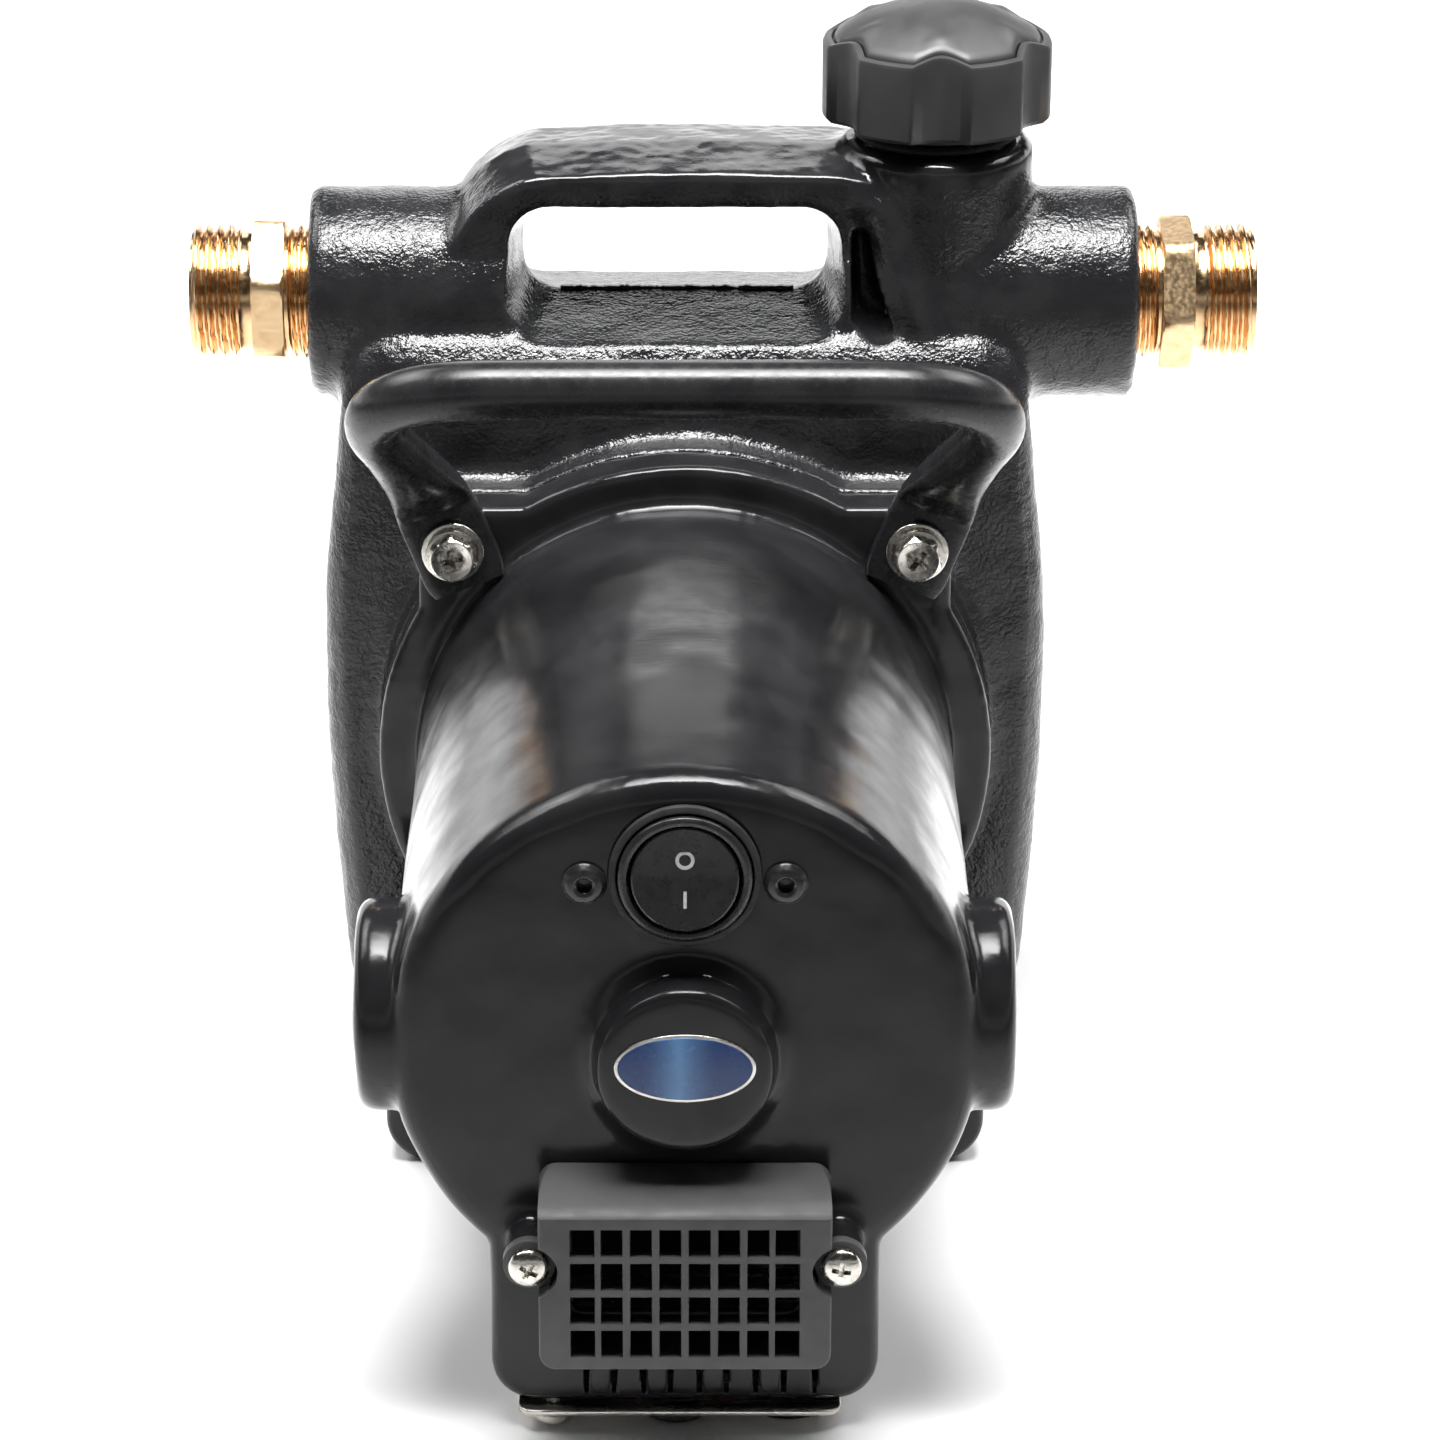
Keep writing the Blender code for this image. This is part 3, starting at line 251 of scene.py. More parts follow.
def swept(name, path, section, across):
    """Solid along a path; section(i) gives that station's outline in (across, up)."""
    points = [Vector(p) for p in path]
    side = Vector(across)
    rings = []
    for i, point in enumerate(points):
        tangent = (points[min(i + 1, len(points) - 1)] - points[max(i - 1, 0)]).normalized()
        side = (side - side.dot(tangent) * tangent).normalized()
        up = tangent.cross(side)
        rings.append([point + side * a + up * b for a, b in section(i)])
    return grid_solid(name, rings)


def box(x0, x1, y0, y1, z0, z1):
    return prism("block", [(x0, z0), (x1, z0), (x1, z1), (x0, z1)], y0, y1)


def rod(radius, low, high, axis, centre, steps=48):
    return lathe("rod", [(0, low), (radius, low), (radius, high), (0, high)], axis, centre, steps)


def evaluated(target):
    """Applies the target's modifiers."""
    bpy.context.view_layer.update()
    graph = bpy.context.evaluated_depsgraph_get()
    mesh = bpy.data.meshes.new_from_object(target.evaluated_get(graph))
    target.modifiers.clear()
    target.data = mesh
    return target


def combine(target, tools, operation):
    """Boolean with each tool in turn; the tools are used up."""
    for tool in tools:
        change = target.modifiers.new(operation, "BOOLEAN")
        change.operation = operation
        change.solver = "MANIFOLD"
        change.object = tool
        evaluated(target)
        bpy.data.objects.remove(tool)
    return target


def add(target, *tools):
    return combine(target, tools, "UNION")


def cut(target, *tools):
    return combine(target, tools, "DIFFERENCE")


def joined(name, parts):
    """One object from several that don't touch."""
    bm = bmesh.new()
    for part in parts:
        bm.from_mesh(part.data)
        bpy.data.objects.remove(part)
    return as_object(name, bm)


# ---- castings
def read_points(mesh):
    points = np.empty(len(mesh.vertices) * 3)
    mesh.vertices.foreach_get("co", points)
    return points.reshape(-1, 3)


def read_normals(mesh):
    normals = np.empty(len(mesh.vertices) * 3, np.float32)
    mesh.vertex_normals.foreach_get("vector", normals)
    return normals.reshape(-1, 3)


def write_points(mesh, points):
    mesh.vertices.foreach_set("co", points.ravel())
    mesh.update()


def relax(mesh, soften, fill, hollow=0.025):
    """Softens every edge, then fills hollow corners only, as the fillets of a casting."""
    points = read_points(mesh)
    count = len(points)
    edges = np.empty(len(mesh.edges) * 2, np.int64)
    mesh.edges.foreach_get("vertices", edges)
    one, other = edges.reshape(-1, 2).T
    valence = np.bincount(edges, minlength=count)[:, None]
    for step in range(soften + fill):
        total = np.stack([np.bincount(one, points[other, k], count)
                          + np.bincount(other, points[one, k], count) for k in range(3)], axis=1)
        move = total / valence - points
        if step >= soften:
            if (step - soften) % 5 == 0:
                write_points(mesh, points)
                normals = read_normals(mesh)
            outward = (move * normals).sum(axis=1, keepdims=True)
            move = np.where(outward > hollow, move, 0)
        points += 0.5 * move
    write_points(mesh, points)


def roughen(mesh, size, height, seed):
    """Pushes the skin in and out along its normals by smooth noise of the given grain size."""
    points, normals = read_points(mesh), read_normals(mesh)
    shift = Vector((seed, 2.7 * seed, -1.3 * seed))
    lift = np.array([noise.noise(Vector(p) / size + shift) for p in points])
    write_points(mesh, points + normals * (height * lift)[:, None])


def cast(solid, voxel, soften, fill, grains):
    """Turns a solid of plain shapes into one skin with a casting's fillets and uneven surface."""
    skin = solid.modifiers.new("skin", "REMESH")
    skin.mode = "VOXEL"
    skin.voxel_size = voxel * FINE
    evaluated(solid)
    relax(solid.data, soften, fill)
    for seed, (size, height) in enumerate(grains):
        roughen(solid.data, size, height, 10 * seed + 3)
    return solid


# ---- materials
LOOKS = {}              # materials by the record's slot, with a few variants of one slot


def set_inputs(node, **values):
    """Unlinked values of a node's sockets, with _ for the spaces in their names."""
    for socket, value in values.items():
        node.inputs[socket.replace("_", " ")].default_value = value


def faded(tree, source, low, high, start, end):
    """Source mapped smoothly from low..high to start..end."""
    change = tree.nodes.new("ShaderNodeMapRange")
    change.interpolation_type = "SMOOTHSTEP"
    set_inputs(change, From_Min=low, From_Max=high, To_Min=start, To_Max=end)
    tree.links.new(source, change.inputs["Value"])
    return change.outputs["Result"]


def grey(value):
    """A neutral a little on the cool side."""
    return value, value, value + 0.001


class Surface:
    """A Principled material that grows by small procedural steps, in object coordinates."""

    def __init__(self, slot, colour, roughness, metallic=0.0, **sockets):
        self.material = LOOKS[slot] = bpy.data.materials.new("look_" + slot)
        self.material.use_nodes = True
        self.tree = self.material.node_tree
        self.nodes, self.links = self.tree.nodes, self.tree.links
        self.shader = self.nodes["Principled BSDF"]
        self.colour, self.roughness = colour, roughness
        set_inputs(self.shader, Base_Color=(*colour, 1), Roughness=roughness, Metallic=metallic, **sockets)
        self.place = self.nodes.new("ShaderNodeTexCoord").outputs["Object"]
        self.normal = None

    def field(self, size, stretch=(1, 1, 1), detail=2.0):
        """Noise whose grain is size millimetres, drawn out by stretch."""
        mapping = self.nodes.new("ShaderNodeMapping")
        mapping.inputs["Scale"].default_value = [1 / (size * MM * s) for s in stretch]
        self.links.new(self.place, mapping.inputs["Vector"])
        texture = self.nodes.new("ShaderNodeTexNoise")
        set_inputs(texture, Detail=detail, Scale=1)
        self.links.new(mapping.outputs["Vector"], texture.inputs["Vector"])
        return texture.outputs["Fac"]

    def along(self, axis, low, high, start, end):
        """Start before low on an axis, in millimetres, and end past high."""
        parts = self.nodes.new("ShaderNodeSeparateXYZ")
        self.links.new(self.place, parts.inputs["Vector"])
        return faded(self.tree, parts.outputs[axis], low * MM, high * MM, start, end)

    def mottled(self, size, other, low=0.4, high=0.6, **options):
        """Colour that wanders between the material's own and another one."""
        mix = self.nodes.new("ShaderNodeMix")
        mix.data_type = "RGBA"
        set_inputs(mix, A=(*self.colour, 1), B=(*other, 1))
        factor = faded(self.tree, self.field(size, **options), low, high, 0, 1)
        self.links.new(factor, mix.inputs["Factor"])
        self.links.new(mix.outputs["Result"], self.shader.inputs["Base Color"])
        return self

    def banded(self, axis, middle, reach, other):
        """Another colour at one place along an axis, fading out over reach millimetres either way."""
        ramp = self.nodes.new("ShaderNodeValToRGB")
        self.links.new(self.along(axis, middle - reach, middle + reach, 0, 1), ramp.inputs["Fac"])
        steps = ramp.color_ramp.elements
        steps[0].color = steps[1].color = (*self.colour, 1)
        steps.new(0.5).color = (*other, 1)
        self.links.new(ramp.outputs["Color"], self.shader.inputs["Base Color"])
        return self

    def uneven(self, size, spread, **options):
        """Roughness that wanders by spread either way."""
        wander = faded(self.tree, self.field(size, **options), 0.3, 0.7, self.roughness - spread,
                       self.roughness + spread)
        self.links.new(wander, self.shader.inputs["Roughness"])
        return self

    def bumpy(self, size, height, strength=None, **options):
        """Relief of the given height in millimetres, which a strength below 1 flattens."""
        bump = self.nodes.new("ShaderNodeBump")
        set_inputs(bump, Strength=1, Distance=height * MM)
        if strength:
            self.links.new(strength, bump.inputs["Strength"])
        self.links.new(self.field(size, **options), bump.inputs["Height"])
        if self.normal:
            self.links.new(self.normal, bump.inputs["Normal"])
        self.normal = bump.outputs["Normal"]
        self.links.new(self.normal, self.shader.inputs["Normal"])
        return self


def make_looks():
    """Fills LOOKS: a material for every slot of the record, and the variants."""
    black = grey(0.011)
    iron = Surface("cast_iron", black, 0.15, IOR=1.44)
    iron.mottled(9, grey(0.016)).uneven(3, 0.06)
    worn = iron.along("Z", AXIS_Z + 105.5, AXIS_Z + 109, 1, 0.12)     # the top of the handle is smooth
    iron.bumpy(0.9, 0.2, worn, detail=2).bumpy(0.45, 0.03, worn, detail=1)
    (Surface("die_cast", black, 0.17, IOR=1.38)
     .mottled(14, grey(0.015)).uneven(6, 0.05).bumpy(7, 0.16, detail=2).bumpy(0.8, 0.012))
    (Surface("barrel", black, 0.22, IOR=1.42)
     .mottled(14, grey(0.015)).uneven(5, 0.03).bumpy(1.0, 0.016, stretch=(6, 0.9, 6), detail=1))
    (Surface("coated_tube", grey(0.012), 0.25, IOR=1.42)
     .mottled(11, grey(0.018)).uneven(2, 0.05).bumpy(0.5, 0.006))
    (Surface("brass", (0.78, 0.52, 0.29), 0.2, 1.0)
     .mottled(3, (0.68, 0.43, 0.22), 0.35, 0.7).uneven(1.2, 0.06).bumpy(0.6, 0.008, stretch=(0.2, 2, 2)))
    (Surface("hexagon", (0.78, 0.56, 0.33), 0.36, 1.0)
     .mottled(3, (0.68, 0.46, 0.25), 0.4, 0.75).uneven(0.9, 0.07).bumpy(0.6, 0.006, detail=2))
    (Surface("knob_plastic", grey(0.018), 0.45)
     .mottled(16, grey(0.024)).uneven(5, 0.05).bumpy(0.25, 0.008))
    (Surface("grille_plastic", grey(0.062), 0.52)
     .mottled(8, grey(0.052)).uneven(3, 0.06).bumpy(0.3, 0.01))
    (Surface("switch_plastic", grey(0.012), 0.3)
     .mottled(5, grey(0.016)).uneven(2, 0.06).bumpy(0.2, 0.003))
    (Surface("marking", (0.72, 0.72, 0.70), 0.4)
     .mottled(0.6, (0.62, 0.62, 0.60)).bumpy(0.2, 0.003))
    (Surface("rubber", (0.013, 0.013, 0.013), 0.7)
     .mottled(2, (0.02, 0.02, 0.02)).uneven(1, 0.1).bumpy(0.4, 0.015))
    (Surface("bright_steel", (0.70, 0.67, 0.62), 0.2, 1.0)
     .mottled(1.4, (0.52, 0.49, 0.44), 0.45, 0.75).uneven(1, 0.09).bumpy(0.4, 0.01, detail=3))
    (Surface("plate", (0.72, 0.69, 0.65), 0.26, 1.0)
     .mottled(6, (0.58, 0.55, 0.50)).uneven(2, 0.08, stretch=(6, 1, 1)).bumpy(0.5, 0.008, stretch=(8, 1, 1)))
    (Surface("black_steel", grey(0.016), 0.2)
     .mottled(2, grey(0.024)).uneven(1.5, 0.06).bumpy(0.7, 0.015))
    (Surface("shaft_steel", (0.55, 0.55, 0.56), 0.3, 1.0)
     .mottled(4, (0.46, 0.46, 0.47)).uneven(1, 0.08).bumpy(0.3, 0.005, stretch=(1, 6, 1)))
    (Surface("laminations", (0.30, 0.30, 0.31), 0.5, 1.0)
     .mottled(0.7, (0.16, 0.15, 0.14), stretch=(60, 1, 60)).bumpy(0.7, 0.06, stretch=(60, 1, 60)))
    (Surface("copper", (0.62, 0.25, 0.10), 0.34, 1.0)
     .mottled(0.8, (0.42, 0.14, 0.05), stretch=(1, 12, 1)).bumpy(0.8, 0.1, stretch=(1, 12, 1)))
    (Surface("carbon", (0.03, 0.03, 0.032), 0.55)
     .mottled(0.8, (0.05, 0.05, 0.052)).uneven(0.6, 0.12).bumpy(0.3, 0.01))
    (Surface("seal_ceramic", (0.85, 0.83, 0.78), 0.22)
     .mottled(3, (0.80, 0.77, 0.71)).uneven(2, 0.06))
    (Surface("natural_plastic", (0.75, 0.73, 0.66), 0.42)
     .mottled(9, (0.70, 0.67, 0.59)).uneven(4, 0.06).bumpy(0.6, 0.01))
    (Surface("bracket_aluminium", (0.60, 0.61, 0.62), 0.42, 1.0)
     .mottled(4, (0.50, 0.51, 0.52)).uneven(1.5, 0.1).bumpy(1.1, 0.06, detail=3))


make_looks()


def publish(piece, name, slot, body="pump", look=None, replaces=(), sharp=32):
    """Names a finished piece, gives it its material and body, and turns it into metres."""
    piece.name = name
    piece.data.name = name
    piece.data.transform(Matrix.Scale(MM, 4))
    piece.data.materials.clear()
    piece.data.materials.append(LOOKS[look or slot])
    piece.data.shade_smooth()
    if sharp:
        piece.data.set_sharp_from_angle(angle=math.radians(sharp))
    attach(piece, body)
    if replaces:
        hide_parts(*replaces)
    return piece


# ---- pump casing
def casing_half_width(z):
    return float(np.interp(z - AXIS_Z, (-54, -27, -5, 25, 67, 80), (68.8, 71, 72, 72, 67.5, 66)))


def casing_outline(top, inset, shoulder=12.0):
    """Body outline in a plane of constant Y; inset pulls the sides and the bottom in."""
    corner = 14.0
    bottom = AXIS_Z - 68 + inset
    low = casing_half_width(AXIS_Z - 54) - inset
    right = arc(low - corner, bottom + corner, corner, -90, 0, 8)
    for z in np.linspace(AXIS_Z - 45, AXIS_Z + 30, 7):
        right.append((casing_half_width(z) - inset, z))
    edge = casing_half_width(top - shoulder) - inset
    right += arc(edge - shoulder, top - shoulder, shoulder, 0, 90, 8)
    return right + [(-x, z) for x, z in reversed(right)]


def flange_solids(low, high, bevel=0.0):
    """Round flange merged with the square that carries the four screws."""
    half = FLANGE_HALF
    square = rounded_box(-half, half, AXIS_Z - half, AXIS_Z + half, 7.0, 6)
    return add(prism("flange", circle(0, AXIS_Z, FLANGE_R, 96), low, high, bevel=bevel),
               prism("square", square, low, high, bevel=bevel))


def handle_outline(draft):
    """Cast handle in front view, from its left root over the top to its right leg."""
    top = AXIS_Z + 112.2 - draft
    left = draft * 0.8
    outline = [(-57 + left, ROOT_Z), (-53 + left, AXIS_Z + 83), (-49.5 + left, AXIS_Z + 89)]
    outline += arc(-26 + left, top - 23, 22.5, 168, 102, 10)
    outline += curve_through([(-14, top - 0.2), (0, top), (14, top - 0.2), (30.5, top - 0.8),
                              (37.2, top - 2.6), (41.6, top - 6.6), (43.6, top - 12), (46.0, top - 22),
                              (50, top - 36)], 3)
    return outline + [(52, ROOT_Z)]


def casing_solid():
    sections = []
    for lean in np.radians([-90, -76, -64, -54, -42, -28, -14, 0, 14, 28, 42, 54, 64, 76, 90]):
        y = HALF_DEPTH * math.sin(lean)
        crown = max(0.0, 1 - abs(math.sin(lean)) ** 2.6) ** 0.38
        inset = max(0.0, abs(y) - 22) ** 2 / 11
        sections.append((y, casing_outline(AXIS_Z + 61 + 23.2 * crown, inset)))
    body = stacked("casing", sections)
    bell = lathe("bell", filleted([(0, 15), (BELL_R, 15), (BELL_R, CASING_HIGH.y, 7), (0, CASING_HIGH.y)], 0,
                                  steps=6))
    low, high = CASING_LOW.x, CASING_HIGH.x
    ports = lathe("ports", [(0, low), (PORT_R - 1.4, low), (PORT_R, low + 1.4), (PORT_R, high - 1.4),
                            (PORT_R - 1.4, high), (0, high)], "X", (0, 0, PORT_Z), 96)
    handle = stacked("handle", [(-HANDLE_HALF_Y, handle_outline(2.0)), (0, handle_outline(0)),
                                (HANDLE_HALF_Y, handle_outline(1.2))])
    web = prism("web", [(25, ROOT_Z), (NECK_X, ROOT_Z), (NECK_X, NECK_TOP_Z - 6),
                        (25, NECK_TOP_Z - 5)], -WEB_HALF_Y, WEB_HALF_Y)
    neck = lathe("neck", [(0, PORT_Z - 10), (NECK_R, PORT_Z - 10), (NECK_R, NECK_TOP_Z - 1.6),
                          (NECK_R - 1.6, NECK_TOP_Z), (0, NECK_TOP_Z)], "Z", (NECK_X, 0, 0), 72)
    pad = flange_solids(PAD_Y, -HALF_DEPTH + 4, bevel=0.8)
    foot = prism("foot", rounded_box(-40, 40, 0, 14, 2), -18, 42)
    leg = curve_through([(33, -13.5, PORT_Z + 24), (38.5, -14.5, PORT_Z + 21), (41.5, -16, PORT_Z + 13),
                         (44, -18.2, PORT_Z + 4), (48, -19, PORT_Z - 5), (53, -17, PORT_Z - 13)], 5)
    rib = swept("rib", leg, lambda i: circle(0, 0, 4.0, 16), (1, 0, 0))
    add(body, bell, ports, handle, web, neck, pad, foot, rib)

    x0, x1, z0, z1 = SLOT
    slot_sections = []
    for y in (-40, -HANDLE_HALF_Y, 0.5, HANDLE_HALF_Y, 40):
        grow = SLOT_DRAFT * abs(y) / HANDLE_HALF_Y
        slot_sections.append((y, rounded_box(x0 - grow, x1 + grow, z0 - grow, z1 + grow * 0.4, 7.5)))
    cut(body, stacked("slot", slot_sections))
    recess = filleted([(32.6, PORT_Z + 18.5), (35.4, PORT_Z + 18), (37.6, PORT_Z + 8), (41.2, PORT_Z - 2.6),
                       (37, PORT_Z - 3.4), (32.6, PORT_Z + 0.5)], 1.5, closed=True)
    for side in (-1, 1):
        y0, y1 = sorted((side * WEB_HALF_Y, side * 25))
        cut(body, prism("recess", recess, y0, y1))

    chamber = stacked("chamber", [
        (-HALF_DEPTH + WALL, casing_outline(AXIS_Z + 54, 7)),
        (0, casing_outline(AXIS_Z + 68, 6)),
        (HALF_DEPTH - WALL, casing_outline(AXIS_Z + 54, 7)),
    ])
    mouth = lathe("mouth", [(0, PAD_Y - 5), (54, PAD_Y - 5), (54, PAD_Y + 3), (50, PAD_Y + 3), (50, -12),
                            (BELL_R - WALL, -10), (BELL_R - WALL, CASING_HIGH.y - 5), (0, CASING_HIGH.y - 5)])
    cut(body, add(chamber, mouth))
    inlet = [(0, low - 5), (13.6, low - 5), (13.6, low + 14), (12.5, low + 14), (12.5, -37), (0, -37)]
    outlet = [(0, 40), (10, 40), (10, high - 14), (13.6, high - 14), (13.6, high + 5), (0, high + 5)]
    filler = [(0, AXIS_Z + 50), (9, AXIS_Z + 50), (9, PORT_Z + 12), (13.2, PORT_Z + 12),
              (13.2, NECK_TOP_Z + 5), (0, NECK_TOP_Z + 5)]
    cut(body, lathe("inlet", inlet, "X", (0, 0, PORT_Z)), lathe("outlet", outlet, "X", (0, 0, PORT_Z)),
        lathe("filler", filler, "Z", (NECK_X, 0, 0)), rod(9.0, AXIS_Z + 50, PORT_Z, "Z", (-47, 0, 0)),
        rod(6.3, CASING_HIGH.y - 9, CASING_HIGH.y + 5, "Y", (0, 0, AXIS_Z - 40)))
    for x, z in corners():
        cut(body, rod(3.4, PAD_Y - 5, PAD_Y + 10, "Y", (x, 0, z), 24))
    return body


def corners():
    """The flange screw places, upper pair first."""
    return [(side * EAR, AXIS_Z + up * EAR) for up in (1, -1) for side in (-1, 1)]


def make_casing():
    body = cast(casing_solid(), 0.85, 3, 30, [(9.0, 0.22), (2.2, 0.11)])
    points = read_points(body.data)
    points[:, 2] = np.maximum(points[:, 2], CASING_LOW.z)
    write_points(body.data, points)
    publish(body, "casing_casting", "cast_iron", replaces=["pump_casing"], sharp=0)


def make_parting_flash():
    """Ragged fin that the mould's joint left along the floor of the finger slot."""
    x0, x1, z0, _ = SLOT
    floor, top = [], []
    for x in np.arange(x0 + 7, x1 - 6, 0.4):
        coarse, fine = (noise.noise(Vector(at)) for at in ((x * 0.45, 0, 3), (x * 1.7, 5, 0)))
        top.append((x, z0 + max(0.35 + 0.45 * coarse + 0.25 * fine, 0.05)))
        floor.append((x, z0 - 1.5))
    fin = prism("fin", top + floor[::-1], 0.1, 0.9)
    publish(fin, "parting_flash", "cast_iron", sharp=40)


# ---- motor housing
def duct_outline():
    half = DUCT_HALF_X
    left = curve_through([(-half - 11, AXIS_Z - 10), (-half - 6, AXIS_Z - 22), (-half - 1.2, AXIS_Z - 31),
                          (-half, AXIS_Z - 36)], 4)
    left += arc(-half + 8, DUCT_BOTTOM_Z + 8, 8, 180, 270, 8)
    return left + [(-x, z) for x, z in reversed(left)]


def housing_solid():
    flange = flange_solids(FLANGE_FRONT_Y, FLANGE_BACK_Y, bevel=1.0)
    profile = filleted([(0, FLANGE_BACK_Y - 2), (BARREL_R, FLANGE_BACK_Y - 2), (BARREL_R, END_Y, END_ROUND),
                        (18.6, END_Y, 0.6), (17.8, END_Y - 1.0, 0.8), (HUB_R, END_Y - 1.4, 0.6),
                        (HUB_R, HUB_FACE_Y, 2.2), (0, HUB_FACE_Y)], 0, steps=5)
    body = lathe("housing", profile, steps=128)
    across = [(0, -BRUSH_BOSS_X), (BOSS_R, -BRUSH_BOSS_X, 3.5), (BOSS_R, BRUSH_BOSS_X, 3.5),
              (0, BRUSH_BOSS_X)]
    boss = lathe("bosses", filleted(across, 0, steps=5), "X", (0, BRUSH_Y, AXIS_Z), 96)
    duct = prism("duct", duct_outline(), END_Y, DUCT_BACK_Y, bevel=2.6, segments=5)
    y = HUB_FACE_Y + 1.0
    pip = lathe("pip", [(0, y - 1.2), (0.9, y - 0.9), (1.2, y), (0.9, y + 0.9), (0, y + 1.2)],
                centre=(0, 0, AXIS_Z + HUB_R - 1.4), steps=12)
    posts = [rod(POST_R, POST_Y, END_Y + 2, "Y", (side * GRILLE_SCREW_X, 0, GRILLE_SCREW_Z))
             for side in (-1, 1)]
    add(body, flange, boss, duct, pip, *posts)

    inside = lathe("inside", [(0, FLANGE_BACK_Y + 5), (50, FLANGE_BACK_Y + 5), (50, FLANGE_FRONT_Y + 1),
                              (49, FLANGE_FRONT_Y), (49, -172), (11, -172), (11, -182), (0, -182)], steps=120)
    hollow = prism("hollow", rounded_box(-31, 31, DUCT_BOTTOM_Z - 5, AXIS_Z - 36, 3, 4),
                   END_Y + 2, DUCT_BACK_Y - 4)
    window = prism("window", rounded_box(-20, 20, 24, 45, 2, 4), END_Y - 5, -170)
    cut(body, inside, hollow, window, rod(12.0, END_Y - 5, -170, "Y", (0, 0, SWITCH_Z), 72),
        rod(8, -70, 70, "X", (0, BRUSH_Y, AXIS_Z)))
    for sign in (-1, 1):
        cut(body, rod(2.1, END_Y - 5, -170, "Y", (sign * RIVET_X, 0, RIVET_Z), 24),
            rod(1.9, POST_Y - 5, -171, "Y", (sign * GRILLE_SCREW_X, 0, GRILLE_SCREW_Z), 24))
    for x, z in corners():
        cut(body, rod(3.4, -50, -30, "Y", (x, 0, z), 24))
    return body


def make_housing():
    body = cast(housing_solid(), 0.75, 3, 14, [(11.0, 0.22)])
    for x in VENT_SLOTS_X:          # the base plate's screw is where a tenth would be
        taper = [(x - 0.35, 7.2), (x + 0.35, 7.2), (x + 0.8, 17), (x - 0.8, 17)]
        cut(body, prism("slot", taper, END_Y - 5, END_Y + 4.5))
    publish(body, "motor_casting", "die_cast", replaces=["motor_housing"], sharp=0)
    body.data.materials.append(LOOKS["barrel"])
    mesh = body.data
    centres = np.empty(len(mesh.polygons) * 3)
    mesh.polygons.foreach_get("center", centres)
    x, y, z = centres.reshape(-1, 3).T / MM
    radius = np.hypot(x, z - AXIS_Z)
    on_barrel = (np.abs(radius - BARREL_R) < 0.9) & (y < FLANGE_FRONT_Y - 2) & (y > END_Y + 5)
    mesh.polygons.foreach_set("material_index", on_barrel.astype(np.int32))


def make_tongues():
    """Four U-shaped tongues between the pairs of vent slots."""
    tongues = []
    half, end_z = 1.7, 9.2
    for middle in (-15.1, -5.0, 5.0, 15.1):
        outline = [(middle + half, 20), (middle + half, end_z + 0.5)] + arc(middle, end_z, half, 0, -180, 8)
        outline += [(middle - half, end_z + 0.5), (middle - half, 20)]
        tongues.append(prism("tongue", outline, END_Y - 0.75, END_Y + 1.0, bevel=0.3))
    publish(joined("tongues", tongues), "duct_tongues", "die_cast")


def make_motor_foot():
    half, low, high = 58.8, -75.0, -58.0
    cradle = arc(0, AXIS_Z, BARREL_R + GAP, -28, -152, 40)
    saddle = [(-half, AXIS_Z - 27)] + arc(-half + 9, 9, 9, 180, 270, 10) + arc(half - 9, 9, 9, 270, 360, 10)
    foot = prism("foot", saddle + [(half, AXIS_Z - 27)] + cradle, low, high, bevel=1.6, segments=4)
    publish(foot, "motor_foot_casting", "die_cast", replaces=["motor_foot"])


def make_badge():
    """Plain oval sign on the hub: a pale rim round a blue field, with no lettering, and a painted highlight on the
    field as a lighter blue band.
    """
    centre_z = AXIS_Z + 1.1

    def oval(half_x, half_z):
        return [(half_x * math.cos(a), centre_z + half_z * math.sin(a)) for a in around(96)]

    rim = prism("rim", oval(12.3, 6.5), HUB_FACE_Y - 0.35, HUB_FACE_Y + 0.4, bevel=0.15)
    publish(rim, "badge_rim", "bright_steel", look="plate")
    badge_with_painted_sheen = Surface("badge", (0.014, 0.045, 0.16), 0.25)
    # painted highlight: a lighter blue band across the badge's field at x = -1, fading out over 7 mm either way
    badge_with_painted_sheen.banded("X", -1.0, 7.0, (0.11, 0.25, 0.48)).uneven(3, 0.06).bumpy(0.5, 0.003)
    field = prism("field", oval(11.7, 5.95), HUB_FACE_Y - 0.55, HUB_FACE_Y - 0.1, bevel=0.12)
    publish(field, "badge_field", "switch_plastic", look="badge")


